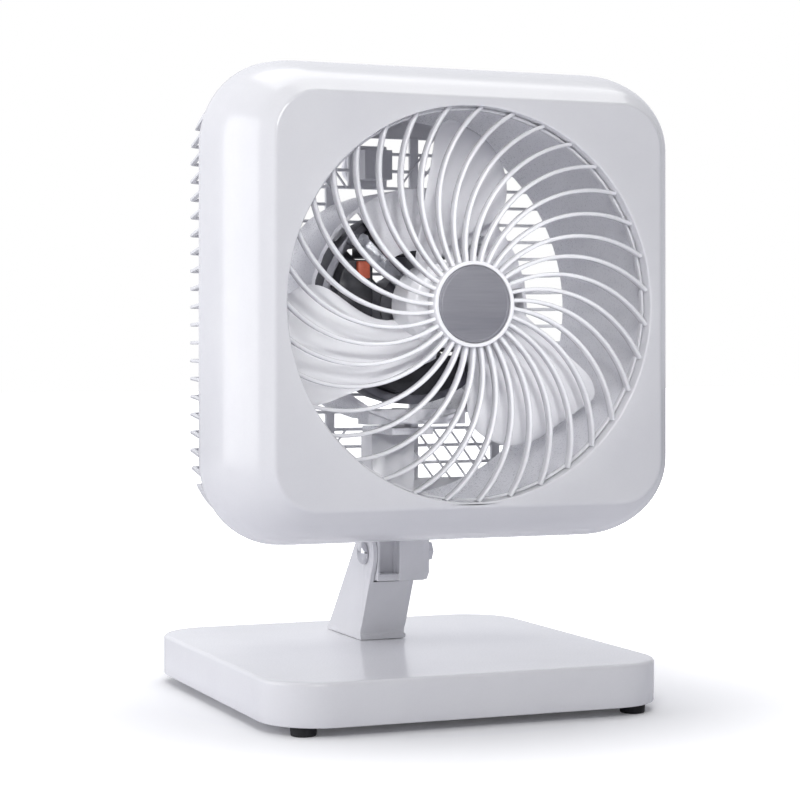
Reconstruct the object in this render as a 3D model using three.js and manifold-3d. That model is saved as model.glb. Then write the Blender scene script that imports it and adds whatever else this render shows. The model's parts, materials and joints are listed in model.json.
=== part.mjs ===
// A tilting box fan: a square head with a fixed grille of curved bars stands on a weighted square base.
// Millimetres, +Z up. The grille faces -Y. The origin is on the table under the middle of the base.
// Pieces of the head are built in the head's own frame: x to the right, y back from the grille's face,
// z up from the fan's axis. A depth is a y in that frame.
import * as THREE from "three";
import { mergeVertices } from "three/addons/utils/BufferGeometryUtils.js";
import Module from "manifold-3d";

const wasm = await Module();
wasm.setup();

// Driving dimensions.
const GAP = 0.3;
const FACE_Y = -111;
const AXIS_Z = 233;
const BASE = { halfX: 120, halfY: 123.5, bottom: 5.5, top: 30, corner: 35, wall: 2.6, fillet: 2.4 };
const FOOT = { radius: 7.5, x: 100, y: 107.5 };
const HEAD = { halfX: 140, halfZ: 137, lift: 1, corner: 48, wall: 2.4, seam: 65, depth: 158 };
const OPENING = 110.2;
const GRILLE = { bars: 35, barWidth: 2.2, front: 3.2, back: 9.5, hub: 24.1, rim: 109.6, ring: 2 };
const BAR_ARC = { x: 72.6, z: 20.6, radius: 71.5 };
const DUCT = { front: 110.6, back: 113.4, wall: 1.8, end: 119 };
const SLAT = { pitch: 10.7, thick: 2.2, last: 10, ribX: [-84, -28, 28, 84], ribWidth: 6, sideFrom: 78 };
const PIVOT = { y: 18, z: 84, ear: 15, bolt: 3 };
const ARM = { left: -15.5, right: 13.3, frontY: 27, backY: 81, wall: 2.6 };
const SHAFT = 4;
const HUB = { radius: 24.5, wall: 2, boss: 9, front: 36.5, back: 64 };
const BLADE = { count: 3, root: 21, tip: 106, trail: 26, lead: 37, widest: 0.7 };
const PITCH = { front: 34.5, back: 64, thick: 2 };
const BLADE_TURN = 10;
const STATOR = { outer: 58, yoke: 53, bore: 21, pole: 11, front: 91, back: 111 };
const COIL = { inner: 29, outer: 52.4, half: 27, front: 80.7, back: 121.3 };
const FRAME = { outer: 69.5, inner: 67.3, front: 78.6, back: 150, floor: -76 };
const SHIELD = { inner: 33, thick: 1.6, angles: [-36, 20, 80] };
const SWITCH = { x: -3, z: 88, half: 9, front: 137, depth: 15 };
const GLAND = { x: -62, z: -98, flange: 8.5, body: 6, lip: 7, bore: 3.4 };
const KNOB = { skirt: 13, rim: 4, grip: 10, height: 13, pointer: 12.4 };
const LATTICE = { bars: 5, first: 17, pitch: 11.3, lean: 0.75, from: 74, to: 107, width: 1.3, deep: 2.6 };
const SCREW = { shank: 1.8, hole: 2.1, head: 3.6, crown: 2.4 };

// Materials.
const paint = (color, roughness, metalness = 0) =>
  new THREE.MeshStandardMaterial({ color, roughness, metalness });
const MATERIAL = {
  shell: paint(0xf1f1f4, 0.22),
  inner: paint(0xdcdce2, 0.35),
  blade: paint(0xf4f4f6, 0.2),
  badge: paint(0x8a8a94, 0.4, 0.3),
  rubber: paint(0x161618, 0.8),
  chrome: paint(0xd8d8dc, 0.12, 1),
  steel: paint(0xa9abb2, 0.35, 0.9),
  lamination: paint(0x6c6d76, 0.5, 0.7),
  winding: paint(0x1b1b20, 0.55),
  bronze: paint(0xb08a4a, 0.4, 0.9),
  red: paint(0xb5462f, 0.5),
};

// Solids.

/** A closed geometry as a manifold-3d solid, with its faces turned outward. */
function solid(geometry) {
  const loose = geometry.index ? geometry.toNonIndexed() : geometry;
  const bare = new THREE.BufferGeometry();
  bare.setAttribute("position", loose.getAttribute("position"));
  const merged = mergeVertices(bare, 1e-4);
  const vertProperties = merged.attributes.position.array;
  const triVerts = new Uint32Array(merged.index.array);
  const made = new wasm.Manifold(new wasm.Mesh({ numProp: 3, vertProperties, triVerts }));
  if (made.volume() > 0) return made;
  for (let i = 0; i < triVerts.length; i += 3) triVerts.subarray(i + 1, i + 3).reverse();
  return new wasm.Manifold(new wasm.Mesh({ numProp: 3, vertProperties, triVerts }));
}

const join = (...pieces) => pieces.reduce((whole, piece) => whole.add(piece));
const cut = (whole, ...tools) => tools.reduce((rest, tool) => rest.subtract(tool), whole);

/** A box from its lowest corner to its highest. */
function box([x0, y0, z0], [x1, y1, z1]) {
  const geometry = new THREE.BoxGeometry(x1 - x0, y1 - y0, z1 - z0);
  return solid(geometry.translate((x0 + x1) / 2, (y0 + y1) / 2, (z0 + z1) / 2));
}

// Each matrix carries a shape's own axes and its extrusion to the part's axes.
const ALONG = {
  x: new THREE.Matrix4().set(0, 0, 1, 0, 1, 0, 0, 0, 0, 1, 0, 0, 0, 0, 0, 1),
  y: new THREE.Matrix4().set(1, 0, 0, 0, 0, 0, 1, 0, 0, 1, 0, 0, 0, 0, 0, 1),
  z: new THREE.Matrix4(),
};

/** A shape extruded along an axis: (y, z) shapes along x, (x, z) shapes along y, (x, y) shapes along z. */
function plate(shape, axis, from, to, curveSegments = 3) {
  const geometry = new THREE.ExtrudeGeometry(shape, {
    depth: to - from,
    bevelEnabled: false,
    curveSegments,
  });
  return solid(geometry.translate(0, 0, from).applyMatrix4(ALONG[axis]));
}

/** A round bar along an axis, centred at the two other coordinates. */
function rod(radius, axis, from, to, centre = [0, 0], sides = 16) {
  const circle = new THREE.Shape();
  circle.absarc(centre[0], centre[1], radius, 0, 2 * Math.PI);
  return plate(circle, axis, from, to, sides / 2);
}

/** A profile of [radius, depth] points turned round the fan's axis. */
function turned(profile, sides = 32) {
  const points = [...profile, profile[0]].map(([r, y]) => new THREE.Vector2(r, y));
  return solid(new THREE.LatheGeometry(points, sides));
}

/** A closed skin over rings of equal point counts, with a ladder of faces over each end. */
function skin(rings) {
  const count = rings[0].length;
  const points = rings.flat();
  const index = [];
  const quad = (a, b, c, d) => index.push(a, b, c, a, c, d);
  for (let r = 0; r + 1 < rings.length; r++)
    for (let i = 0; i < count; i++) {
      const next = (i + 1) % count;
      quad(r * count + i, r * count + next, (r + 1) * count + next, (r + 1) * count + i);
    }
  const last = (rings.length - 1) * count;
  for (let i = 0; i + 1 < count / 2; i++) {
    quad(count - 1 - i, count - 2 - i, i + 1, i);
    quad(last + i, last + i + 1, last + count - 2 - i, last + count - 1 - i);
  }
  return solid(new THREE.BufferGeometry().setFromPoints(points).setIndex(index));
}

function roundedRect(halfWidth, halfHeight, radius, middle = [0, 0]) {
  const shape = new THREE.Shape();
  const x = halfWidth - radius;
  const y = halfHeight - radius;
  const [cx, cy] = middle;
  shape.absarc(cx + x, cy + y, radius, 0, Math.PI / 2);
  shape.absarc(cx - x, cy + y, radius, Math.PI / 2, Math.PI);
  shape.absarc(cx - x, cy - y, radius, Math.PI, 1.5 * Math.PI);
  shape.absarc(cx + x, cy - y, radius, 1.5 * Math.PI, 2 * Math.PI);
  shape.closePath();
  return shape;
}

function polygon(points) {
  return new THREE.Shape(points.map(([x, y]) => new THREE.Vector2(x, y)));
}

/** A solid through rounded rectangles of the head: each is [depth, inset, further inset of the sides]. */
function headBody(stations) {
  const ring = ([depth, inset, narrow = 0]) => {
    const halfX = HEAD.halfX - inset - narrow;
    const shape = roundedRect(halfX, HEAD.halfZ - inset, HEAD.corner - inset, [0, HEAD.lift]);
    const points = shape.getPoints(2).slice(0, -1);
    return points.map((p) => new THREE.Vector3(p.x, depth, p.y));
  };
  return skin(stations.map(ring));
}

// Scene graph.
const fan = new THREE.Group();
const head = new THREE.Group();
head.position.set(0, FACE_Y, AXIS_Z);
fan.add(head);

/** A solid as a named mesh in a group. */
function addPiece(group, name, material, made) {
  const { vertProperties, triVerts } = made.getMesh();
  const geometry = new THREE.BufferGeometry();
  geometry.setAttribute("position", new THREE.BufferAttribute(new Float32Array(vertProperties), 3));
  geometry.setIndex(new THREE.BufferAttribute(new Uint32Array(triVerts), 1));
  const flat = geometry.toNonIndexed();
  flat.computeVertexNormals();
  const mesh = new THREE.Mesh(flat, material);
  mesh.name = name;
  group.add(mesh);
}

/** The four mirror images of a place in two coordinates, numbered from 1. */
const corners = (a, b) => [
  [-a, -b],
  [a, -b],
  [-a, b],
  [a, b],
];

/** A pan-head screw along an axis: its head starts at seat and its shank runs to tip. */
function screw(axis, seat, tip, centre) {
  const top = seat - Math.sign(tip - seat) * SCREW.crown;
  const crown = rod(SCREW.head, axis, Math.min(seat, top), Math.max(seat, top), centre, 8);
  const shank = rod(SCREW.shank, axis, Math.min(top, tip), Math.max(top, tip), centre, 6);
  return join(crown, shank);
}

// Base.

const BOSS = { x: 88, y: 92, radius: 5 };
const ARM_SCREW_Y = [40, 68];
const ARM_MIDDLE = (ARM.left + ARM.right) / 2;

function baseShell() {
  const level = (inset, z) =>
    roundedRect(BASE.halfX - inset, BASE.halfY - inset, BASE.corner - inset)
      .getPoints(3)
      .slice(0, -1)
      .map((p) => new THREE.Vector3(p.x, p.y, z));
  const f = BASE.fillet;
  const outer = skin([
    level(0.8, BASE.bottom),
    level(0, BASE.bottom + 2),
    level(0, BASE.top - f),
    level(f * 0.3, BASE.top - f * 0.3),
    level(f, BASE.top),
  ]);
  const room = roundedRect(BASE.halfX - BASE.wall, BASE.halfY - BASE.wall, BASE.corner - BASE.wall);
  let shell = cut(outer, plate(room, "z", BASE.bottom - 1, BASE.top - BASE.wall));
  for (const place of corners(BOSS.x, BOSS.y))
    shell = join(shell, rod(BOSS.radius, "z", BASE.bottom + 5, BASE.top - 1, place, 8));
  for (const place of corners(BOSS.x, BOSS.y))
    shell = cut(shell, rod(SCREW.hole, "z", BASE.bottom, BASE.top - 5, place, 6));
  for (const y of ARM_SCREW_Y)
    shell = cut(shell, rod(SCREW.hole, "z", BASE.top - 5, BASE.top + 1, [ARM_MIDDLE, y], 6));
  return shell;
}

function basePlate() {
  const inset = BASE.wall + 0.5;
  const outline = roundedRect(BASE.halfX - inset, BASE.halfY - inset, BASE.corner - inset);
  let made = plate(outline, "z", BASE.bottom + 1, BASE.bottom + 3.2);
  for (const place of corners(BOSS.x, BOSS.y))
    made = cut(made, rod(SCREW.hole, "z", BASE.bottom, BASE.bottom + 4, place, 6));
  return made;
}

function rubberFoot(place) {
  return rod(FOOT.radius, "z", 0, BASE.bottom + 1 - GAP, place, 20);
}

addPiece(fan, "base_shell", MATERIAL.shell, baseShell());
addPiece(fan, "base_plate", MATERIAL.inner, basePlate());
corners(FOOT.x, FOOT.y).forEach((place, i) =>
  addPiece(fan, `rubber_foot_${i + 1}`, MATERIAL.rubber, rubberFoot(place)),
);
corners(BOSS.x, BOSS.y).forEach((place, i) => {
  const made = screw("z", BASE.bottom + 1 - GAP, BASE.bottom + 14, place);
  addPiece(fan, `base_screw_${i + 1}`, MATERIAL.steel, made);
});

// Arm: a leaning box with an ear on each side of the hinge block.

const EAR = { inner: -13.1, rightFrom: 9.6, rightTo: 12.6, swing: 19 };

/** The arm seen from the side: a wide foot at a height that rises into the round ear. */
function armSide(radius, front, back, footZ) {
  const tangent = (footY, side) => {
    const away = Math.hypot(footY - PIVOT.y, footZ - PIVOT.z);
    const toFoot = Math.atan2(footZ - PIVOT.z, footY - PIVOT.y);
    return toFoot + side * Math.acos(radius / away);
  };
  const shape = new THREE.Shape();
  shape.moveTo(front, footZ);
  shape.lineTo(back, footZ);
  shape.absarc(PIVOT.y, PIVOT.z, radius, tangent(back, 1), tangent(front, -1) + 2 * Math.PI);
  shape.closePath();
  return shape;
}

function arm() {
  const foot = BASE.top + GAP;
  const flange = box(
    [ARM.left, ARM.frontY - 2.5, foot],
    [ARM.right + 1.3, ARM.backY + 1.5, foot + 3.2],
  );
  const side = armSide(PIVOT.ear, ARM.frontY, ARM.backY, foot);
  const room = armSide(PIVOT.ear - ARM.wall, ARM.frontY, ARM.backY - 12, foot + 6);
  const hollow = plate(room, "x", ARM.left + ARM.wall, ARM.right - ARM.wall);
  const betweenEars = rod(EAR.swing, "x", EAR.inner, EAR.rightFrom, [PIVOT.y, PIVOT.z], 24);
  const outsideRightEar = rod(EAR.swing, "x", EAR.rightTo, ARM.right + 2, [PIVOT.y, PIVOT.z], 24);
  const aboveWeb = box([EAR.inner, -20, PIVOT.z], [EAR.rightFrom, 60, PIVOT.z + 20]);
  const squareHole = box(
    [ARM.left - 1, PIVOT.y - PIVOT.bolt - GAP, PIVOT.z - PIVOT.bolt - GAP],
    [EAR.inner + 1, PIVOT.y + PIVOT.bolt + GAP, PIVOT.z + PIVOT.bolt + GAP],
  );
  const roundHole = rod(PIVOT.bolt + GAP, "x", EAR.inner, ARM.right + 1, [PIVOT.y, PIVOT.z], 20);
  let made = join(plate(side, "x", ARM.left, ARM.right, 6), flange);
  made = cut(made, hollow, betweenEars, outsideRightEar, aboveWeb, squareHole, roundHole);
  for (const y of ARM_SCREW_Y)
    made = cut(made, rod(SCREW.hole, "z", foot - 1, foot + 7, [ARM_MIDDLE, y], 6));
  return made;
}

const BOLT_END = 26;

/** A carriage bolt: domed head outside the left ear, square neck in it, round shank to the knob. */
function tiltBolt() {
  const face = ARM.left - GAP;
  const dome = new THREE.Shape();
  dome.moveTo(0, 0);
  dome.lineTo(7, 0);
  dome.quadraticCurveTo(6, 3.2, 0, 3.8);
  dome.closePath();
  const crown = new THREE.LatheGeometry(dome.getPoints(4), 24);
  crown.rotateZ(Math.PI / 2).translate(face, PIVOT.y, PIVOT.z);
  const neck = box(
    [face - 0.5, PIVOT.y - PIVOT.bolt, PIVOT.z - PIVOT.bolt],
    [EAR.inner, PIVOT.y + PIVOT.bolt, PIVOT.z + PIVOT.bolt],
  );
  return join(solid(crown), neck, rod(PIVOT.bolt, "x", EAR.inner - 1, BOLT_END, [PIVOT.y, PIVOT.z], 20));
}

addPiece(fan, "arm", MATERIAL.shell, arm());
ARM_SCREW_Y.forEach((y, i) => {
  const made = screw("z", BASE.top - BASE.wall - GAP, BASE.top + 6, [ARM_MIDDLE, y]);
  addPiece(fan, `arm_screw_${i + 1}`, MATERIAL.steel, made);
});
addPiece(fan, "tilt_bolt", MATERIAL.chrome, tiltBolt());

// Hinge block: it hangs from the head between and beside the ears, and its post carries the motor.

const BLOCK = {
  left: -12.7,
  slotFrom: 9.2,
  slotTo: 13,
  right: 20.2,
  frontY: 1.2,
  coreY: 3.5,
  wallY: 5.5,
  backY: 31,
  bottom: 68,
  cheekBottom: 71,
};
const POCKET = { left: -11.1, right: 0.8, backY: 13, bottom: 72 };
const PANEL = { left: 0.5, right: 1.8, backY: 9.7 };
const FLANGE = { left: -26, right: 32, frontY: -3, backY: 32, thick: 3 };
const CHAMFER = { depth: 5, from: 66, to: 74 };
const POST = { half: 14, frontY: 10, backY: 28, wall: 2.5, roomTop: 150 };
const WASHER_X = BLOCK.right + GAP;
const FLOOR_Z = AXIS_Z + HEAD.lift - HEAD.halfZ;
const TAPER = 2.5;
const NARROW = 17;
const PLATE_Z = FLOOR_Z + TAPER + HEAD.wall + GAP + 0.1;
const HINGE_SCREWS = [
  [-21, 5],
  [27, 5],
];

function hingeBlock() {
  const block = BLOCK;
  const plateTop = PLATE_Z + FLANGE.thick;
  const wallTop = PLATE_Z - FLANGE.thick;
  const core = box([block.left, block.coreY, block.bottom], [block.slotFrom, block.backY, PLATE_Z + 1]);
  const cheek = box(
    [block.slotTo, block.frontY, block.cheekBottom],
    [block.right, block.backY, PLATE_Z + 1],
  );
  const frontWall = box([POCKET.right, block.frontY, block.bottom], [block.right, block.wallY, wallTop]);
  const flange = box([FLANGE.left, FLANGE.frontY, PLATE_Z], [FLANGE.right, FLANGE.backY, plateTop]);
  const postTop = AXIS_Z + FRAME.floor - GAP;
  const post = box([-POST.half, POST.frontY, PLATE_Z], [POST.half, POST.backY, postTop]);
  const pocket = box([POCKET.left, 0, POCKET.bottom], [POCKET.right, POCKET.backY, wallTop]);
  const barrel = rod(EAR.swing - 0.6, "x", block.left - 2, block.slotFrom + 2, [PIVOT.y, PIVOT.z], 32);
  const behindWall = box(
    [block.left - 1, block.wallY, block.bottom - 8],
    [block.slotFrom + 1, block.backY + 1, PIVOT.z],
  );
  const heel = cut(behindWall, barrel);
  const panel = box([PANEL.left, block.coreY, POCKET.bottom], [PANEL.right, PANEL.backY, wallTop - 2]);
  const cheekCorner = polygon([
    [block.frontY - 1, CHAMFER.from],
    [block.frontY + CHAMFER.depth, CHAMFER.from],
    [block.frontY - 1, CHAMFER.to],
  ]);
  const earRoom = join(
    rod(PIVOT.ear + 0.6, "x", block.slotFrom, block.slotTo, [PIVOT.y, PIVOT.z], 24),
    box([block.slotFrom, block.coreY - 0.1, block.bottom - 1], [block.slotTo, PIVOT.y, PIVOT.z]),
  );
  const postRoom = box(
    [-POST.half + POST.wall, POST.frontY + POST.wall, plateTop],
    [POST.half - POST.wall, POST.backY + 1, POST.roomTop],
  );
  const boltHole = rod(PIVOT.bolt + 0.1, "x", block.left - 1, block.right + 1, [PIVOT.y, PIVOT.z], 20);
  let made = join(core, cheek, frontWall, flange, post);
  made = cut(made, pocket, panel, earRoom, postRoom, boltHole, heel);
  made = cut(made, plate(cheekCorner, "x", block.slotTo + 4, block.right + 1));
  for (const place of HINGE_SCREWS)
    made = cut(made, rod(SCREW.hole, "z", PLATE_Z - 1, PLATE_Z + 4, place, 6));
  for (const y of frameScrewsY())
    made = cut(made, rod(SCREW.hole, "z", POST.roomTop + 1, postTop + 1, [0, y], 6));
  return made;
}

function frameScrewsY() {
  return [POST.frontY + 4, POST.backY - 4];
}

function tiltWasher() {
  const centre = [PIVOT.y, PIVOT.z];
  const ring = rod(7, "x", WASHER_X, WASHER_X + 1, centre, 20);
  return cut(ring, rod(PIVOT.bolt + GAP, "x", WASHER_X - 1, WASHER_X + 2, centre, 20));
}

/** A six-sided clamp knob with a round flange against the washer. */
function clampKnob() {
  const from = WASHER_X + 1 + GAP;
  const flange = rod(6.8, "x", from, from + 1.4, [PIVOT.y, PIVOT.z], 20);
  const grip = rod(6.2, "x", from + 1, from + 6, [PIVOT.y, PIVOT.z], 6);
  const hole = rod(PIVOT.bolt + 0.1, "x", from - 1, BOLT_END + GAP, [PIVOT.y, PIVOT.z], 20);
  return cut(join(flange, grip), hole);
}

addPiece(fan, "hinge_block", MATERIAL.shell, hingeBlock());
addPiece(fan, "tilt_washer", MATERIAL.steel, tiltWasher());
addPiece(fan, "clamp_knob", MATERIAL.inner, clampKnob());
HINGE_SCREWS.forEach((place, i) => {
  const made = screw("z", PLATE_Z + FLANGE.thick + GAP, FLOOR_Z - 1, place);
  addPiece(fan, `hinge_screw_${i + 1}`, MATERIAL.steel, made);
});

// Front shell, grille and badge.

const POSTS = corners(102, 107).map(([x, z]) => [x, z + HEAD.lift]);
const LIP = { outer: OPENING + 2.4, back: 12 };
const WEB = 37;

function frontShell() {
  const wall = HEAD.wall;
  const outer = headBody([
    [0, 24.5],
    [1.2, 21.5],
    [10, 14.5],
    [24, 7.5],
    [42, 2.2],
    [HEAD.seam, 0],
  ]);
  const inner = headBody([
    [wall, 24.5],
    [10 + wall, 14.5 + wall],
    [24, 7.5 + wall],
    [42, 2.2 + wall],
    [HEAD.seam + 1, wall],
  ]);
  const lip = rod(LIP.outer, "y", 1, LIP.back, [0, 0], 48);
  let shell = join(cut(outer, inner), lip);
  const ductRoom = rod(117, "y", 0, 80, [0, 0], 48);
  for (const [x, z] of POSTS) {
    const post = rod(4.5, "y", 34, HEAD.seam - 0.2, [x, z], 8);
    const web = box([x - 1, 30, z - WEB], [x + 1, HEAD.seam - 1, z + WEB]);
    const cross = box([x - WEB, 30, z - 1], [x + WEB, HEAD.seam - 1, z + 1]);
    const webs = cut(join(web, cross), ductRoom);
    shell = join(shell, join(post, webs).intersect(outer));
  }
  for (const place of POSTS) {
    shell = cut(shell, rod(SCREW.hole, "y", 44, HEAD.seam + 1, place, 6));
  }
  return cut(shell, rod(OPENING, "y", -1, LIP.back + 1, [0, 0], 48));
}

/** One curved bar, seen from the front: a band along a circular arc from the hub to the outer ring. */
function barShape() {
  const toAxis = Math.atan2(-BAR_ARC.z, -BAR_ARC.x);
  const away = Math.hypot(BAR_ARC.x, BAR_ARC.z);
  const angleAt = (radius, reach) =>
    toAxis - Math.acos((away ** 2 + radius ** 2 - reach ** 2) / (2 * away * radius));
  const inner = BAR_ARC.radius - GRILLE.barWidth / 2;
  const outer = BAR_ARC.radius + GRILLE.barWidth / 2;
  const root = GRILLE.hub - 1.5;
  const tip = GRILLE.rim - 0.2;
  const shape = new THREE.Shape();
  shape.absarc(BAR_ARC.x, BAR_ARC.z, outer, angleAt(outer, root), angleAt(outer, tip), true);
  shape.absarc(BAR_ARC.x, BAR_ARC.z, inner, angleAt(inner, tip), angleAt(inner, root), false);
  shape.closePath();
  return shape;
}

function frontGrille() {
  const { hub, front, back, rim } = GRILLE;
  const bore = rim - GRILLE.ring;
  const ring = turned(
    [
      [bore, 7],
      [rim, 7],
      [rim, LIP.back - 1],
      [bore, LIP.back - 1],
    ],
    40,
  );
  const seat = turned([
    [0, 2.2],
    [hub - 2, 2.2],
    [hub - 2, 0],
    [hub, 0],
    [hub, 11],
    [hub - 3, 11],
    [hub - 3, 5],
    [0, 5],
  ]);
  const bar = new THREE.ExtrudeGeometry(barShape(), {
    depth: back - front,
    bevelEnabled: false,
    curveSegments: 2,
  });
  bar.translate(0, 0, front).applyMatrix4(ALONG.y);
  let made = join(ring, seat);
  for (let k = 0; k < GRILLE.bars; k++)
    made = join(made, solid(bar.clone().rotateY((k * 2 * Math.PI) / GRILLE.bars)));
  return made;
}

addPiece(head, "front_shell", MATERIAL.shell, frontShell());
addPiece(head, "front_grille", MATERIAL.shell, frontGrille());
addPiece(head, "hub_badge", MATERIAL.badge, rod(GRILLE.hub - 2 - GAP, "y", 0.6, 1.9, [0, 0], 32));

// Air duct and rear cover.

function airDuct() {
  const { front, back, wall, end } = DUCT;
  const start = LIP.back + GAP;
  return turned(
    [
      [front, start],
      [front + wall, start],
      [back + wall, end],
      [back, end],
    ],
    48,
  );
}

/** The open windows of one row between two slats: they run across the back and round both sides. */
function windowRow(z) {
  const half = (SLAT.pitch - SLAT.thick) / 2;
  const far = HEAD.halfX + 1;
  const stops = [-far, ...SLAT.ribX, far];
  const row = [];
  for (let i = 0; i + 1 < stops.length; i++) {
    const low = stops[i] + (i ? SLAT.ribWidth / 2 : 0);
    const high = stops[i + 1] - (i + 2 < stops.length ? SLAT.ribWidth / 2 : 0);
    const atSide = i === 0 || i + 2 === stops.length;
    const from = atSide ? SLAT.sideFrom : HEAD.depth - 4;
    row.push(box([low, from, z - half], [high, HEAD.depth + 1, z + half]));
  }
  return row;
}

/** Slanting bars across the windows above and below the motor, mirrored left to right. */
function latticeBars() {
  const bars = [];
  const half = LATTICE.width / 2;
  const front = HEAD.depth - HEAD.wall - 2;
  for (let k = 0; k < LATTICE.bars; k++) {
    const foot = LATTICE.first + k * LATTICE.pitch;
    const head = foot + (LATTICE.to - LATTICE.from) * LATTICE.lean;
    for (const [side, up] of corners(1, 1)) {
      const outline = [
        [side * (foot - half), up * LATTICE.from],
        [side * (foot + half), up * LATTICE.from],
        [side * (head + half), up * LATTICE.to],
        [side * (head - half), up * LATTICE.to],
      ];
      bars.push(plate(polygon(outline), "y", front, front + LATTICE.deep));
    }
  }
  return bars;
}

function rearCover() {
  const wall = HEAD.wall;
  const start = HEAD.seam + GAP;
  const outer = headBody([
    [start, 1, 0],
    [145, TAPER, NARROW],
    [153.5, 7, NARROW],
    [HEAD.depth, 20, NARROW],
  ]);
  const inner = headBody([
    [start - 1, 1 + wall, 0],
    [144, TAPER + wall, NARROW],
    [151.5, 7 + wall, NARROW],
    [HEAD.depth - wall, 20 + wall, NARROW],
  ]);
  let cover = cut(outer, inner);
  for (let k = -SLAT.last; k < SLAT.last; k++) {
    cover = cut(cover, ...windowRow((k + 0.5) * SLAT.pitch));
  }
  const backplate = (x, z, halfX, halfZ) =>
    box([x - halfX, HEAD.depth - wall - 0.5, z - halfZ], [x + halfX, HEAD.depth - 0.2, z + halfZ]);
  cover = join(cover, backplate(SWITCH.x, SWITCH.z, 13, 13), backplate(GLAND.x, GLAND.z, 12, 8));
  cover = join(cover, ...latticeBars());
  for (const [x, z] of POSTS) {
    const tube = rod(5.4, "y", start, 152, [x, z], 8);
    const web = box([Math.abs(x), start, z - 1.2], [Math.abs(x) + WEB, 150, z + 1.2]);
    const webs = x > 0 ? web : web.mirror([1, 0, 0]);
    cover = join(cover, join(tube, webs).intersect(outer));
  }
  for (const place of POSTS) {
    cover = cut(cover, rod(SCREW.hole, "y", start - 1, start + 6, place, 6));
    cover = cut(cover, rod(SCREW.head + GAP, "y", start + 4, HEAD.depth + 1, place, 8));
  }
  const hole = box(
    [ARM.left - 0.9, -1 - FACE_Y, -HEAD.halfZ - 2],
    [BLOCK.right + 0.5, 35 - FACE_Y, -HEAD.halfZ + HEAD.lift + 12],
  );
  const switchHole = rod(4.3, "y", 150, HEAD.depth + 1, [SWITCH.x, SWITCH.z]);
  const glandHole = rod(GLAND.body + GAP, "y", 150, HEAD.depth + 1, [GLAND.x, GLAND.z]);
  const glandRoom = rod(GLAND.lip + 0.4, "y", 149, HEAD.depth - wall - 0.5, [GLAND.x, GLAND.z]);
  cover = cut(cover, hole, switchHole, glandHole, glandRoom);
  for (const [x, y] of HINGE_SCREWS) {
    const place = [x, y - FACE_Y];
    cover = cut(cover, rod(SCREW.hole, "z", -HEAD.halfZ - 2, -HEAD.halfZ + 10, place, 6));
  }
  return cover;
}

addPiece(head, "air_duct", MATERIAL.inner, airDuct());
addPiece(head, "rear_cover", MATERIAL.shell, rearCover());
POSTS.forEach((place, i) =>
  addPiece(head, `housing_screw_${i + 1}`, MATERIAL.steel, screw("y", HEAD.seam + 4.6, 47, place)),
);

// Motor: a shaded-pole stator in a plastic frame on the hinge block's post.

const EAR_BACK = STATOR.back + 4.4;
const BEAM = { half: 31, front: 83, back: 100, top: -60.6 };
const SHELF = { half: 13, front: 90, thick: 4 };
const GUSSET = { half: 2, front: 98, back: 118 };
const LUG = { half: 4.5, front: 100.5, back: 105.5, reach: 8 };
const FUSE = { left: -40, right: -32.5, front: 76.4, low: 16, high: 26 };

/** The sector of the frame's front that covers the upper winding. Its angles start at the top. */
function frameShield() {
  const { inner, front } = FRAME;
  const disc = turned(
    [
      [SHIELD.inner, front],
      [inner + 1, front],
      [inner + 1, front + SHIELD.thick],
      [SHIELD.inner, front + SHIELD.thick],
    ],
    40,
  );
  const ray = (degrees) => {
    const angle = (degrees * Math.PI) / 180;
    return [2 * inner * Math.sin(angle), 2 * inner * Math.cos(angle)];
  };
  const wedge = polygon([[0, 0], ...SHIELD.angles.map(ray)]);
  return disc.intersect(plate(wedge, "y", front - 1, front + 3));
}

function motorFrame() {
  const { outer, inner, front, back, floor } = FRAME;
  const ring = turned(
    [
      [inner, front],
      [outer, front],
      [outer, back],
      [inner, back],
    ],
    28,
  );
  const shelfTop = floor + SHELF.thick;
  const beam = box([-BEAM.half, BEAM.front, -outer], [BEAM.half, BEAM.back, BEAM.top]);
  const shelf = box([-SHELF.half, SHELF.front, floor], [SHELF.half, POST.backY - FACE_Y, shelfTop]);
  const gusset = box([-GUSSET.half, GUSSET.front, shelfTop - 1], [GUSSET.half, GUSSET.back, BEAM.top]);
  let made = join(ring, beam, shelf, gusset, frameShield());
  const tip = STATOR.outer + LUG.reach;
  const lug = join(
    box([STATOR.outer + 1, LUG.front, -LUG.half], [inner + 1, LUG.back, LUG.half]),
    box([STATOR.outer + 3, LUG.front, -LUG.half], [tip, EAR_BACK, LUG.half]),
    box([STATOR.outer - 10, STATOR.back + 0.4, -LUG.half], [tip, EAR_BACK, LUG.half]),
  );
  for (let k = 0; k < 4; k++) made = join(made, lug.rotate([0, 45 + k * 90, 0]));
  for (const place of statorScrews()) {
    const pillarRoom = rod(4.3, "y", front - 1, front + 3, place, 12);
    made = cut(made, pillarRoom, rod(SCREW.hole, "y", STATOR.back, EAR_BACK + 1, place, 6));
  }
  for (const y of frameScrewsY()) {
    const place = [0, y - FACE_Y];
    const driverHole = rod(SCREW.head + 1, "z", shelfTop, -inner + 3, place, 12);
    made = cut(made, driverHole, rod(SCREW.hole, "z", floor - 1, shelfTop + 1, place, 6));
  }
  return made;
}

function statorScrews() {
  const reach = (STATOR.outer - 4) * Math.SQRT1_2;
  return corners(reach, reach);
}

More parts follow.
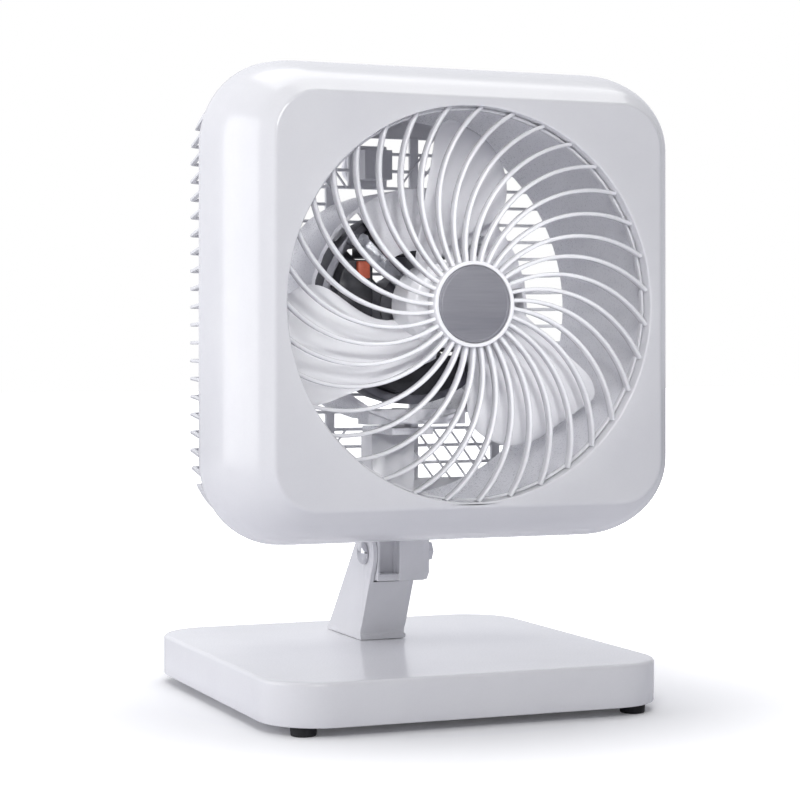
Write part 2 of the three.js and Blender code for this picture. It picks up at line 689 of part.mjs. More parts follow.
function statorCore() {
  const { outer, yoke, bore, pole, front, back } = STATOR;
  const yokeRoom = rod(yoke, "y", front - 1, back + 1, [0, 0], 32);
  let made = cut(rod(outer, "y", front, back, [0, 0], 32), yokeRoom);
  made = join(made, box([-outer + 3, front, -pole], [outer - 3, back, pole]));
  made = join(made, box([-pole, front, -outer + 3], [pole, back, outer - 3]));
  for (const place of statorScrews()) {
    made = join(made, rod(4.5, "y", front, back, place, 8));
    made = cut(made, rod(SCREW.hole, "y", front - 1, back + 1, place, 6));
  }
  return cut(made, rod(bore, "y", front - 1, back + 1, [0, 0], 24));
}

/** A taped winding round one pole, on the side that the turn about the fan's axis gives. */
function coil(degrees) {
  const { inner, outer, half, front, back } = COIL;
  const pole = STATOR.pole + 0.4;
  const drum = rod(outer, "y", front, back, [0, 0], 32);
  const body = box([inner, front, -half], [outer, back, half]).intersect(drum);
  const poleRoom = box([inner - 1, STATOR.front - 0.4, -pole], [outer + 1, STATOR.back + 0.4, pole]);
  return cut(body, poleRoom).rotate([0, degrees, 0]);
}

const BRACKET = { seat: 12, disc: 18, leg: 3.5, thick: 3, front: 75, rear: 123.5 };

/** A round end bracket with a bearing seat: its legs reach the stator's screws. */
function motorBracket(seatFrom, seatTo, plateFrom) {
  const plateTo = plateFrom + BRACKET.thick;
  let made = join(rod(BRACKET.seat, "y", seatFrom, seatTo), rod(BRACKET.disc, "y", plateFrom, plateTo));
  const leg = box([0, plateFrom, -BRACKET.leg], [STATOR.outer - 2, plateTo, BRACKET.leg]);
  for (let k = 0; k < 4; k++) made = join(made, leg.rotate([0, 45 + k * 90, 0]));
  return cut(made, rod(BUSH.outer + GAP + 0.2, "y", seatFrom - 1, seatTo + 1));
}

const BUSH = { outer: 8, front: 68, back: 124, length: 10 };

function bush(from) {
  return cut(
    rod(BUSH.outer, "y", from, from + BUSH.length),
    rod(SHAFT + 0.08, "y", from - 1, from + BUSH.length + 1, [0, 0], 20),
  );
}

function frontBracket() {
  let made = motorBracket(BUSH.front, BUSH.front + BUSH.length, BRACKET.front);
  for (const [x, z] of statorScrews()) {
    made = join(made, rod(BRACKET.leg, "y", BRACKET.front + 1, STATOR.front - GAP, [x, z], 8));
    made = cut(made, rod(SCREW.hole, "y", BRACKET.front - 5, STATOR.front, [x, z], 6));
  }
  return made;
}

function rearBracket() {
  let made = motorBracket(BUSH.back - 1, BUSH.back + BUSH.length, BRACKET.rear);
  for (const [x, z] of statorScrews()) {
    made = join(made, rod(BRACKET.leg, "y", EAR_BACK + GAP, BRACKET.rear + 1.5, [x, z], 8));
    made = cut(made, rod(SCREW.hole, "y", STATOR.back, BRACKET.rear + 4.5, [x, z], 6));
  }
  return made;
}

addPiece(head, "motor_frame", MATERIAL.inner, motorFrame());
frameScrewsY().forEach((y, i) => {
  const made = screw("z", FRAME.floor + SHELF.thick + GAP, FRAME.floor - 5, [0, y - FACE_Y]);
  addPiece(head, `frame_screw_${i + 1}`, MATERIAL.steel, made);
});
addPiece(head, "stator_core", MATERIAL.lamination, statorCore());
for (let k = 0; k < 4; k++) addPiece(head, `coil_${k + 1}`, MATERIAL.winding, coil(k * 90));
addPiece(
  head,
  "thermal_fuse",
  MATERIAL.red,
  box([FUSE.left, FUSE.front, FUSE.low], [FUSE.right, COIL.front - GAP, FUSE.high]),
);
addPiece(head, "front_bracket", MATERIAL.steel, frontBracket());
addPiece(head, "rear_bracket", MATERIAL.steel, rearBracket());
addPiece(head, "front_bush", MATERIAL.bronze, bush(BUSH.front));
addPiece(head, "rear_bush", MATERIAL.bronze, bush(BUSH.back));
statorScrews().forEach((place, i) =>
  addPiece(head, `stator_screw_${i + 1}`, MATERIAL.steel, screw("y", BRACKET.front - GAP, 130, place)),
);

// Rotor: shaft, core, blade wheel and its nut.

const SHAFT_FRONT = HUB.front - 7;

/**
 * One blade: a straight trailing edge near the grille, and a leading edge that lies further back and
 * swells out until it is widest at a share of the blade's length. Its pitch is steepest at the hub.
 */
function blade(degrees) {
  const stations = 7;
  const across = 4;
  const rings = [];
  for (let s = 0; s <= stations; s++) {
    const share = s / stations;
    const radius = BLADE.root + (BLADE.tip - BLADE.root) * share;
    const trail = -Math.min(BLADE.trail, radius * 0.8);
    const lead = BLADE.lead * Math.sin(((Math.PI / 2) * share) / BLADE.widest) ** 2;
    const point = (along, side) => {
      const angle = Math.asin((trail + (lead - trail) * along) / radius);
      const depth = PITCH.front + (PITCH.back - PITCH.front) * along + (side * PITCH.thick) / 2;
      return new THREE.Vector3(radius * Math.sin(angle), depth, radius * Math.cos(angle));
    };
    const ring = [];
    for (let i = 0; i <= across; i++) ring.push(point(i / across, 1));
    for (let i = across; i >= 0; i--) ring.push(point(i / across, -1));
    rings.push(ring);
  }
  return skin(rings).rotate([0, degrees, 0]);
}

function fanBlade() {
  const { radius, wall, boss, front, back } = HUB;
  const bore = SHAFT + GAP;
  let made = turned(
    [
      [bore, front],
      [radius - 4, front],
      [radius, front + 4],
      [radius, back],
      [radius - wall, back],
      [radius - wall, front + wall + 1],
      [boss, front + wall + 1],
      [boss, back - 5],
      [bore, back - 5],
    ],
    24,
  );
  const hubRoom = rod(radius - 1, "y", 0, 90, [0, 0], 24);
  for (let k = 0; k < BLADE.count; k++) {
    made = join(made, cut(blade(BLADE_TURN + (k * 360) / BLADE.count), hubRoom));
  }
  return made;
}

function fanNut() {
  const seat = HUB.front - GAP;
  const crown = turned(
    [
      [0, seat - 12],
      [5, seat - 11],
      [9, seat],
      [0, seat],
    ],
    24,
  );
  return cut(crown, rod(SHAFT + GAP, "y", SHAFT_FRONT - 1, seat + 1, [0, 0], 24));
}

function rotorCore() {
  return cut(
    rod(STATOR.bore - 0.6, "y", STATOR.front, STATOR.back, [0, 0], 24),
    rod(SHAFT + GAP, "y", STATOR.front - 1, STATOR.back + 1, [0, 0], 24),
  );
}

addPiece(head, "motor_shaft", MATERIAL.steel, rod(SHAFT, "y", SHAFT_FRONT, BUSH.back + 11, [0, 0], 20));
addPiece(head, "rotor_core", MATERIAL.lamination, rotorCore());
addPiece(head, "fan_blade", MATERIAL.blade, fanBlade());
addPiece(head, "fan_nut", MATERIAL.blade, fanNut());

// Speed switch with its knob, and the lead's gland in the rear cover.

function speedSwitch() {
  const { x, z, half, front, depth } = SWITCH;
  const body = box([x - half, front, z - half], [x + half, front + depth, z + half]);
  const neck = rod(4, "y", front, HEAD.depth + 4, [x, z]);
  const spindle = rod(2.4, "y", front, HEAD.depth + 9, [x, z]);
  return join(body, neck, spindle);
}

function speedKnob() {
  const { x, z } = SWITCH;
  const from = HEAD.depth + 5;
  const skirt = rod(KNOB.skirt, "y", from, from + KNOB.rim, [x, z], 28);
  const grip = rod(KNOB.grip, "y", from, from + KNOB.height, [x, z], 24);
  const pointer = box([x - 1.6, from, z], [x + 1.6, from + KNOB.height, z + KNOB.pointer]);
  return cut(join(skirt, grip, pointer), rod(2.6, "y", from - 1, from + 5, [x, z], 16));
}

function switchNut() {
  const { x, z } = SWITCH;
  const from = HEAD.depth + GAP;
  return cut(rod(7, "y", from, from + 2.4, [x, z], 6), rod(4.2, "y", from - 1, from + 4, [x, z]));
}

function cableGland() {
  const { x, z } = GLAND;
  const made = join(
    rod(GLAND.flange, "y", HEAD.depth + GAP, HEAD.depth + 3, [x, z]),
    rod(GLAND.body, "y", HEAD.depth - 8, HEAD.depth + 1, [x, z]),
    rod(GLAND.lip, "y", HEAD.depth - 8, HEAD.depth - HEAD.wall - 0.8, [x, z]),
  );
  return cut(made, rod(GLAND.bore, "y", HEAD.depth - 10, HEAD.depth + 5, [x, z], 16));
}

addPiece(head, "speed_switch", MATERIAL.winding, speedSwitch());
addPiece(head, "switch_nut", MATERIAL.steel, switchNut());
addPiece(head, "speed_knob", MATERIAL.inner, speedKnob());
addPiece(head, "cable_gland", MATERIAL.rubber, cableGland());

export default fan;
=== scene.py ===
import json
import math

import bmesh
import bpy
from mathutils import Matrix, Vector


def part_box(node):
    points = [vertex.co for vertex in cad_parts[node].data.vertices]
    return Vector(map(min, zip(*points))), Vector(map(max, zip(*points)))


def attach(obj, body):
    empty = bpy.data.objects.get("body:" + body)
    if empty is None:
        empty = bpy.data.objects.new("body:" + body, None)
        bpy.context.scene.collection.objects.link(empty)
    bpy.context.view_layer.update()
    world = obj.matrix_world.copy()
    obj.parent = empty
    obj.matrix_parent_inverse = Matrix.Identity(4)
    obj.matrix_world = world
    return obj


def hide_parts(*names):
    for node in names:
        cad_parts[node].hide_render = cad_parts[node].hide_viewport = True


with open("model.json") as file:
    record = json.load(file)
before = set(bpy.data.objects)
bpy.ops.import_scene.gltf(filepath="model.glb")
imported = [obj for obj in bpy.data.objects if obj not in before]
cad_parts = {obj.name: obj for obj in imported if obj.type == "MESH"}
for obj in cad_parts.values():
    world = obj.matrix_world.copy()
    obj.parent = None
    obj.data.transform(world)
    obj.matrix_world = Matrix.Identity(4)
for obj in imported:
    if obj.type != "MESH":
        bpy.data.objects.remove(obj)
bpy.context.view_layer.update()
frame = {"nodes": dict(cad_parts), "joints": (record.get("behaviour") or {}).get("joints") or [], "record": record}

# ---------------------------------------------------------------- places taken from the frame
MM = 0.001
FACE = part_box("front_shell")[0].y / MM
SPIN = next(j for j in frame["joints"] if j["name"] == "fan_spin")
TILT = next(j for j in frame["joints"] if j["name"] == "head_tilt")
AXIS = SPIN["pos_m"][2] / MM
PIVOT_Y, PIVOT_Z = TILT["pos_m"][1] / MM, TILT["pos_m"][2] / MM
OPENING = 110.2


def head_point(x, depth, z):
    """A place in the head, in mm: x right, depth back from the grille's face, z up from the fan's axis."""
    return (x, FACE + depth, AXIS + z)


# ---------------------------------------------------------------- materials
CLOUD_SPAN = (0.32, 0.68)
GLOSS_SPAN = (0.3, 0.7)
FINE_SHARE = 0.25
GRAIN_STRENGTH, BAND_STRENGTH = 0.5, 0.8
COAT_ROUGHNESS = 0.08
BANDS_AT_SCALE_ONE = 20


def _link(tree, a, b):
    tree.links.new(a, b)


def _node(tree, kind, **values):
    made = tree.nodes.new(kind)
    for key, value in values.items():
        if key in made.inputs:
            made.inputs[key].default_value = value
        else:
            setattr(made, key, value)
    return made


def surface(
    name,
    dark,
    light,
    rough,
    rough_spread=0.05,
    metallic=0.0,
    cloud=18.0,
    grain=900.0,
    grain_depth=0.00003,
    stretch=(1, 1, 1),
    coat=0.0,
    bands=None,
):
    """A procedural finish: soft clouds between two colours, uneven gloss, and a fine grain in relief."""
    made = bpy.data.materials.new(name)
    made.use_nodes = True
    tree = made.node_tree
    shader = tree.nodes["Principled BSDF"]
    place = _node(tree, "ShaderNodeTexCoord")
    scaled = _node(tree, "ShaderNodeMapping", Scale=stretch)
    _link(tree, place.outputs["Object"], scaled.inputs["Vector"])
    clouds = _node(tree, "ShaderNodeTexNoise", Scale=cloud, Detail=6.0, Roughness=0.6)
    _link(tree, scaled.outputs["Vector"], clouds.inputs["Vector"])
    fine = _node(tree, "ShaderNodeTexNoise", Scale=grain, Detail=3.0, Roughness=0.55)
    _link(tree, scaled.outputs["Vector"], fine.inputs["Vector"])
    ramp = _node(tree, "ShaderNodeValToRGB")
    ramp.color_ramp.elements[0].position = CLOUD_SPAN[0]
    ramp.color_ramp.elements[0].color = (*dark, 1)
    ramp.color_ramp.elements[1].position = CLOUD_SPAN[1]
    ramp.color_ramp.elements[1].color = (*light, 1)
    blend = _node(tree, "ShaderNodeMix", data_type="FLOAT")
    blend.inputs[0].default_value = FINE_SHARE
    _link(tree, clouds.outputs["Fac"], blend.inputs[2])
    _link(tree, fine.outputs["Fac"], blend.inputs[3])
    _link(tree, blend.outputs[0], ramp.inputs["Fac"])
    _link(tree, ramp.outputs["Color"], shader.inputs["Base Color"])
    gloss = _node(tree, "ShaderNodeMapRange")
    gloss.inputs["From Min"].default_value = GLOSS_SPAN[0]
    gloss.inputs["From Max"].default_value = GLOSS_SPAN[1]
    gloss.inputs["To Min"].default_value = rough - rough_spread
    gloss.inputs["To Max"].default_value = rough + rough_spread
    _link(tree, fine.outputs["Fac"], gloss.inputs["Value"])
    _link(tree, gloss.outputs["Result"], shader.inputs["Roughness"])
    relief = _node(tree, "ShaderNodeBump", Strength=GRAIN_STRENGTH, Distance=grain_depth)
    _link(tree, fine.outputs["Fac"], relief.inputs["Height"])
    if bands:
        axis, pitch, depth = bands
        scale = 1.0 / pitch / BANDS_AT_SCALE_ONE * math.pi
        wave = _node(tree, "ShaderNodeTexWave", Scale=scale, Distortion=0.6)
        wave.bands_direction = axis
        wave.inputs["Detail"].default_value = 2.0
        wave.inputs["Detail Scale"].default_value = 3.0
        _link(tree, place.outputs["Object"], wave.inputs["Vector"])
        second = _node(tree, "ShaderNodeBump", Strength=BAND_STRENGTH, Distance=depth)
        _link(tree, wave.outputs["Fac"], second.inputs["Height"])
        _link(tree, relief.outputs["Normal"], second.inputs["Normal"])
        relief = second
    _link(tree, relief.outputs["Normal"], shader.inputs["Normal"])
    shader.inputs["Metallic"].default_value = metallic
    shader.inputs["Coat Weight"].default_value = coat
    shader.inputs["Coat Roughness"].default_value = COAT_ROUGHNESS
    return made


LOOK = {
    "shell_plastic": surface(
        "white_moulding", (0.83, 0.83, 0.86), (0.88, 0.88, 0.9), 0.22, 0.03, coat=0.25
    ),
    "inner_plastic": surface("pale_moulding", (0.8, 0.8, 0.84), (0.86, 0.86, 0.89), 0.3, 0.05),
    # The blades' own pale white, set lighter than the shell's white: painted light for the light that falls on the
    # blades inside the duct.
    "blade_plastic": surface(
        "blade_moulding_painted_light", (0.88, 0.88, 0.91), (0.93, 0.93, 0.95), 0.2, 0.03, coat=0.3
    ),
    "badge_metal": surface(
        "brushed_badge",
        (0.22, 0.22, 0.25),
        (0.3, 0.3, 0.33),
        0.42,
        0.06,
        metallic=0.35,
        cloud=60.0,
        grain=500.0,
        grain_depth=0.00001,
        stretch=(0.12, 1, 1.6),
    ),
    "foot_rubber": surface(
        "black_rubber", (0.012, 0.012, 0.013), (0.03, 0.03, 0.032), 0.75, 0.08, grain=1600.0
    ),
    "bolt_chrome": surface(
        "bright_plating", (0.6, 0.6, 0.63), (0.72, 0.72, 0.74), 0.12, 0.04, metallic=1.0
    ),
    "screw_steel": surface(
        "zinc_steel", (0.36, 0.37, 0.4), (0.52, 0.53, 0.56), 0.34, 0.08, metallic=0.95
    ),
    "stator_steel": surface(
        "stacked_sheet",
        (0.16, 0.16, 0.18),
        (0.26, 0.26, 0.29),
        0.45,
        0.08,
        metallic=0.7,
        bands=("Y", 0.001, 0.0002),
    ),
    "winding_tape": surface(
        "black_tape",
        (0.012, 0.012, 0.015),
        (0.04, 0.04, 0.048),
        0.4,
        0.1,
        cloud=90.0,
        bands=("Z", 0.004, 0.0004),
    ),
    "switch_plastic": surface("grey_moulding", (0.62, 0.62, 0.66), (0.72, 0.72, 0.75), 0.45, 0.06),
    "fuse_red": surface("red_sleeve", (0.36, 0.07, 0.035), (0.5, 0.11, 0.06), 0.5, 0.08, cloud=200.0),
    "bush_bronze": surface(
        "sintered_bronze", (0.3, 0.19, 0.08), (0.42, 0.28, 0.12), 0.42, 0.08, metallic=0.9
    ),
}


# ---------------------------------------------------------------- meshes
def piece(name, points, faces, slot, body, nodes=(), sharp=38):
    """A mesh from points in mm in the part's frame. It rides on a body and stands for CAD nodes."""
    mesh = bpy.data.meshes.new(name)
    mesh.from_pydata([Vector(p) * MM for p in points], [], faces)
    bm = bmesh.new()
    bm.from_mesh(mesh)
    bmesh.ops.remove_doubles(bm, verts=bm.verts, dist=1e-7)
    bmesh.ops.recalc_face_normals(bm, faces=bm.faces)
    bm.to_mesh(mesh)
    bm.free()
    return dress(name, mesh, slot, body, nodes, sharp)


def dress(name, mesh, slot, body, nodes=(), sharp=38):
    """A mesh as an object with its finish, riding on a body and standing for CAD nodes."""
    mesh.shade_smooth()
    mesh.set_sharp_from_angle(angle=math.radians(sharp))
    made = bpy.data.objects.new(name, mesh)
    bpy.context.scene.collection.objects.link(made)
    mesh.materials.clear()
    mesh.materials.append(LOOK[slot])
    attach(made, body)
    if nodes:
        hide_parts(*nodes)
    return made


def loft(rings, loop=False, caps=True):
    """Points and faces through rings of equal counts. loop joins the last ring to the first."""
    count = len(rings[0])
    points = [p for ring in rings for p in ring]
    faces = []
    last = len(rings) if loop else len(rings) - 1
    for r in range(last):
        a, b = r * count, (r + 1) % len(rings) * count
        for i in range(count):
            j = (i + 1) % count
            faces.append((a + i, a + j, b + j, b + i))
    if caps and not loop:
        faces.append(tuple(range(count)))
        faces.append(tuple(range((len(rings) - 1) * count, len(rings) * count)))
    return points, faces


def merged(*parts):
    """Several (points, faces) as one."""
    points, faces = [], []
    for p, f in parts:
        start = len(points)
        points += list(p)
        faces += [tuple(start + i for i in face) for face in f]
    return points, faces


def rounded(profile, radius=0.5, steps=3, closed=True):
    """A 2-D outline with each corner rounded by a short arc."""
    out = []
    n = len(profile)
    for i in range(n):
        p = Vector(profile[i])
        if not closed and i in (0, n - 1):
            out.append(tuple(p))
            continue
        a, b = Vector(profile[i - 1]), Vector(profile[(i + 1) % n])
        to_a, to_b = a - p, b - p
        reach = min(radius, to_a.length * 0.45, to_b.length * 0.45)
        start, end = p + to_a.normalized() * reach, p + to_b.normalized() * reach
        for k in range(steps + 1):
            t = k / steps
            out.append(tuple(start * (1 - t) ** 2 + p * 2 * t * (1 - t) + end * t**2))
    return out


def turned(profile, place, sides=96):
    """A profile of (radius, along) turned: place(radius, angle, along) gives the point."""
    rings = []
    for s in range(sides):
        angle = 2 * math.pi * s / sides
        rings.append([place(r, angle, d) for r, d in profile])
    return loft(rings, loop=True)


def on_fan_axis(r, angle, depth):
    return head_point(r * math.sin(angle), depth, r * math.cos(angle))


def along_x(y, z):
    return lambda r, angle, x: (x, y + r * math.cos(angle), z + r * math.sin(angle))


def along_z(x, y):
    return lambda r, angle, z: (x + r * math.cos(angle), y + r * math.sin(angle), z)


def behind(x, z):
    return lambda r, angle, d: head_point(x + r * math.cos(angle), d, z + r * math.sin(angle))


def corner_ring(half_x, half_z, radius, middle=0.0, arc=14, straight=24):
    """Points of a rounded rectangle. Equal settings give matching points for every size."""
    out = []
    x, z = half_x - radius, half_z - radius
    centres = [(x, z), (-x, z), (-x, -z), (x, -z)]
    for c, (cx, cz) in enumerate(centres):
        start = c * math.pi / 2
        for k in range(arc + 1):
            angle = start + k / arc * math.pi / 2
            out.append((cx + radius * math.cos(angle), middle + cz + radius * math.sin(angle)))
        nx, nz = centres[(c + 1) % 4]
        turn = start + math.pi / 2
        end = (nx + radius * math.cos(turn), middle + nz + radius * math.sin(turn))
        here = out[-1]
        for k in range(1, straight):
            t = k / straight
            out.append((here[0] * (1 - t) + end[0] * t, here[1] * (1 - t) + end[1] * t))
    return out


def eased(knots, per):
    """A smooth curve through (a, b) knots."""
    out = []
    slope = []
    for i in range(len(knots)):
        lo, hi = knots[max(i - 1, 0)], knots[min(i + 1, len(knots) - 1)]
        slope.append((hi[1] - lo[1]) / (hi[0] - lo[0]))
    for i in range(len(knots) - 1):
        (a0, b0), (a1, b1) = knots[i], knots[i + 1]
        width = a1 - a0
        for k in range(per):
            t = k / per
            h00, h10 = 2 * t**3 - 3 * t**2 + 1, t**3 - 2 * t**2 + t
            h01, h11 = -2 * t**3 + 3 * t**2, t**3 - t**2
            b = h00 * b0 + h10 * width * slope[i] + h01 * b1 + h11 * width * slope[i + 1]
            out.append((a0 + width * t, b))
    out.append(knots[-1])
    return out


FLAT_ANGLE, EDGE_ANGLE = 1.5, 32


def soft_box(low, high, radius=0.8, segments=3):
    """A box with rounded edges, as points and faces in mm."""
    bm = bmesh.new()
    bmesh.ops.create_cube(bm, size=1.0)
    for v in bm.verts:
        v.co = Vector([low[i] if v.co[i] < 0 else high[i] for i in range(3)])
    bmesh.ops.bevel(bm, geom=list(bm.edges), offset=radius, segments=segments, profile=0.5, affect="EDGES")
    bm.verts.index_update()
    made = [tuple(v.co) for v in bm.verts], [tuple(v.index for v in f.verts) for f in bm.faces]
    bm.free()
    return made


def refined(node, slot, body, width, segments=2):
    """A CAD node's own shape with its flats merged and its edges rounded."""
    mesh = frame["nodes"][node].data.copy()
    bm = bmesh.new()
    bm.from_mesh(mesh)
    bmesh.ops.remove_doubles(bm, verts=bm.verts, dist=1e-6)
    flat = math.radians(FLAT_ANGLE)
    bmesh.ops.dissolve_limit(bm, angle_limit=flat, verts=bm.verts, edges=bm.edges)
    limit = math.radians(EDGE_ANGLE)
    edges = [e for e in bm.edges if len(e.link_faces) == 2 and e.calc_face_angle(0) > limit]
    bmesh.ops.bevel(
        bm, geom=edges, offset=width * MM, segments=segments, profile=0.5, affect="EDGES", clamp_overlap=True
    )
    bmesh.ops.recalc_face_normals(bm, faces=bm.faces)
    bm.to_mesh(mesh)
    bm.free()
    return dress(node + "_look", mesh, slot, body, [node])


# ---------------------------------------------------------------- head: front shell
HALF_X, HALF_Z, LIFT, CORNER, WALL = 140.0, 137.0, 1.0, 48.0, 2.4
SEAM = 65.0
FACE_INSET = 24.5
EDGE_ROUND, EDGE_STEPS = 3.0, 6
EDGE_TURN = math.radians(51.5)
LIP_BACK, LIP_WALL, LIP_ROUND = 12.0, 2.2, 1.0
LIP_PROFILE = [(LIP_BACK, 0.3), (LIP_BACK - 0.2, 0.0), (6.0, 0.0), (1.4, 0.0)]
FACE_START = 1.4
SKIN_KNOTS = [(10, 14.6), (24, 7.5), (42, 2.3), (SEAM - 0.6, 0.02)]
SEAM_EDGE = [(SEAM - 0.2, 0.12), (SEAM, 0.5)]
POST_X, POST_Z = 102, 107
POST_PROFILE = [(2.1, 44), (2.1, 64.6), (4.5, 64.6), (4.5, 36), (0.01, 36), (0.01, 44)]
WEB_FRONT, WEB_BACK = 32, 63.5
WEB_START, WEB_X, WEB_Z = 4, 25, 20


def head_ring(depth, inset, narrow=0.0):
    """The head's outline at a depth, drawn in by an inset and narrowed at the sides."""
    ring = corner_ring(HALF_X - inset - narrow, HALF_Z - inset, CORNER - inset, LIFT)
    return [head_point(x, depth, z) for x, z in ring]


FACE_RING = corner_ring(HALF_X - FACE_INSET, HALF_Z - FACE_INSET, CORNER - FACE_INSET, LIFT)


def circle_ring(depth, radius):
    """A circle with a point for each point of the face's outline."""
    out = []
    for x, z in FACE_RING:
        reach = math.hypot(x, z)
        out.append(head_point(x / reach * radius, depth, z / reach * radius))
    return out


def front_profile():
    """The outer skin from the face's edge to the seam, as (depth, inset)."""
    out = [(0.0, FACE_INSET + 0.5)]
    for k in range(EDGE_STEPS + 1):
        turn = EDGE_TURN * k / EDGE_STEPS
        out.append((EDGE_ROUND * (1 - math.cos(turn)), FACE_INSET - EDGE_ROUND * math.sin(turn)))
    out += eased([out[-1], *SKIN_KNOTS], 7)[1:]
    return out + SEAM_EDGE


def front_shell():
    """The lip, the face, the skin to the seam and back inside it, and a post with two webs per corner."""
    rings = [circle_ring(depth, OPENING + over) for depth, over in LIP_PROFILE]
    for k in range(1, 6):
        turn = math.pi / 2 * k / 5
        reach = OPENING + LIP_ROUND - LIP_ROUND * math.cos(turn)
        rings.append(circle_ring(LIP_ROUND - LIP_ROUND * math.sin(turn), reach))
    rings.append(circle_ring(0.0, OPENING + FACE_START))
    rings += [head_ring(d, i) for d, i in front_profile()]
    rings.append(head_ring(SEAM, WALL))
    skin = front_profile()[EDGE_STEPS + 1 : -len(SEAM_EDGE) - 1]
    for depth, inset in reversed(skin):
        rings.append(head_ring(min(depth + WALL, SEAM - 1), inset + WALL))
    rings.append(circle_ring(WALL, OPENING + LIP_WALL))
    rings.append(circle_ring(LIP_BACK, OPENING + LIP_WALL))
    parts = [loft(rings, loop=True)]
    for sx in (-1, 1):
        for sz in (-1, 1):
            x, z = POST_X * sx, POST_Z * sz + LIFT
            parts.append(turned(rounded(POST_PROFILE, 0.4), behind(x, z), 24))
            low, high = sorted((x + WEB_START * sx, x + WEB_X * sx))
            across = head_point(low, WEB_FRONT, z - 1), head_point(high, WEB_BACK, z + 1)
            low, high = sorted((z + WEB_START * sz, z + WEB_Z * sz))
            upright = head_point(x - 1, WEB_FRONT, low), head_point(x + 1, WEB_BACK, high)
            parts += [soft_box(*across, 0.4), soft_box(*upright, 0.4)]
    return piece("front_shell_look", *merged(*parts), "shell_plastic", "head", ["front_shell"], sharp=30)


# ---------------------------------------------------------------- head: grille and badge
BARS = 35
BAR_CENTRE = (72.6, 20.6)
BAR_RADIUS = 71.5
HUB_RADIUS = 24.1
BAR_FROM, BAR_TO = HUB_RADIUS - 1.2, OPENING - 0.1
BAR_HALF, BAR_NOSE, BAR_BULGE = 1.12, 4.4, 1.25
BAR_BACK = [(-1.05, 6.5), (-0.85, 9.0), (-0.55, 9.5), (0.55, 9.5), (0.85, 9.0), (1.05, 6.5)]
BAR_STEPS = 30
RIM_PROFILE = [(108.2, 7), (109.6, 7), (109.6, 11), (108.2, 11)]
HUB_PROFILE = [
    (21.9, 0.05),
    (HUB_RADIUS, 0.05),
    (HUB_RADIUS, 11),
    (21.2, 11),
    (21.2, 5),
    (0.01, 5),
    (0.01, 2.2),
    (21.9, 2.2),
]
BADGE_PROFILE = [
    (0.0, 0.62),
    (19.6, 0.62),
    (20.0, 0.78),
    (20.4, 0.62),
    (21.6, 0.7),
    (21.6, 1.9),
    (0.0, 1.9),
]


def bar_outline():
    """A bar's cross-section: (across, depth), rounded towards the front and drawn in at the back."""
    out = []
    for k in range(9):
        turn = math.pi * k / 8
        out.append((BAR_HALF * math.cos(turn), BAR_NOSE - BAR_BULGE * math.sin(turn)))
    return out + BAR_BACK


def bar(turn):
    """One curved bar from the hub to the opening's edge, turned round the fan's axis."""
    away = math.hypot(*BAR_CENTRE)
    to_axis = math.atan2(-BAR_CENTRE[1], -BAR_CENTRE[0])

    def angle_at(reach):
        return to_axis - math.acos((away**2 + BAR_RADIUS**2 - reach**2) / (2 * away * BAR_RADIUS))

    first, last = angle_at(BAR_FROM), angle_at(BAR_TO)
    rings = []
    for s in range(BAR_STEPS + 1):
        angle = first + (last - first) * s / BAR_STEPS
        ring = []
        for across, depth in bar_outline():
            r = BAR_RADIUS + across
            x, z = BAR_CENTRE[0] + r * math.cos(angle), BAR_CENTRE[1] + r * math.sin(angle)
            c, n = math.cos(turn), math.sin(turn)
            ring.append(head_point(x * c + z * n, depth, z * c - x * n))
        rings.append(ring)
    return loft(rings)


def front_grille():
    rim = rounded(RIM_PROFILE, 0.6, 4)
    hub = rounded(HUB_PROFILE, 0.7, 4)
    parts = [turned(rim, on_fan_axis, 160), turned(hub, on_fan_axis, 96)]
    parts += [bar(2 * math.pi * k / BARS) for k in range(BARS)]
    return piece("front_grille_look", *merged(*parts), "shell_plastic", "head", ["front_grille"])


def hub_badge():
    disc = turned(rounded(BADGE_PROFILE, 0.3, 3, closed=False), on_fan_axis, 128)
    return piece("hub_badge_look", *disc, "badge_metal", "head", ["hub_badge"], sharp=50)


# ---------------------------------------------------------------- head: duct and rear cover
DUCT_PROFILE = [(110.6, 12.3), (112.4, 12.3), (115.2, 119), (113.4, 119)]


def air_duct():
    tube = turned(rounded(DUCT_PROFILE, 0.5), on_fan_axis, 160)
    return piece("air_duct_look", *tube, "inner_plastic", "head", ["air_duct"])


PITCH = 10.7
SLAT_COUNT = 9
RIBS = (-84, -28, 28, 84)
REAR = 158.0
NARROW = 17.0
COVER_START = 65.3
COVER_BEND, BEND_DEPTH, BEND_INSET = 145, 13, 17.5
COVER_TAPER = 1.5
BAND_END = 79
BAND_EDGE = [(COVER_START, 1.5, 0.0), (COVER_START + 0.4, 1.0, 0.0)]
TUCK_DEPTH, TUCK_INSET = 0.4, 0.02
SLAT_START, SLAT_THICK = 76, 2.2
SLAT_PROFILE = [(-1.1, 0.05), (1.1, 0.05), (0.9, 2.9), (-0.9, 2.9)]
RIB_HALF, RIB_DEEP, RIB_SINK, RIB_ROUND, RIB_OVER = 3, 3.4, 0.05, 0.9, 1
PADS = [(-3, 88, 13, 13), (-62, -98, 12, 8)]
PAD_DEEP, PAD_SINK, PAD_ROUND = 2.9, 0.1, 1.2
TUBE_PROFILE = [(4, 69.5), (4, 151), (5.4, 151), (5.4, 65.4), (2.1, 65.4), (2.1, 69.5)]
LATTICE_BARS, LATTICE_FIRST, LATTICE_PITCH, LATTICE_LEAN = 5, 17, 11.3, 0.75
LATTICE_FROM, LATTICE_TO = 74, 107
LATTICE_PROFILE = [(-0.6, 153.7), (0.6, 153.7), (0.6, 156.1), (-0.6, 156.1)]


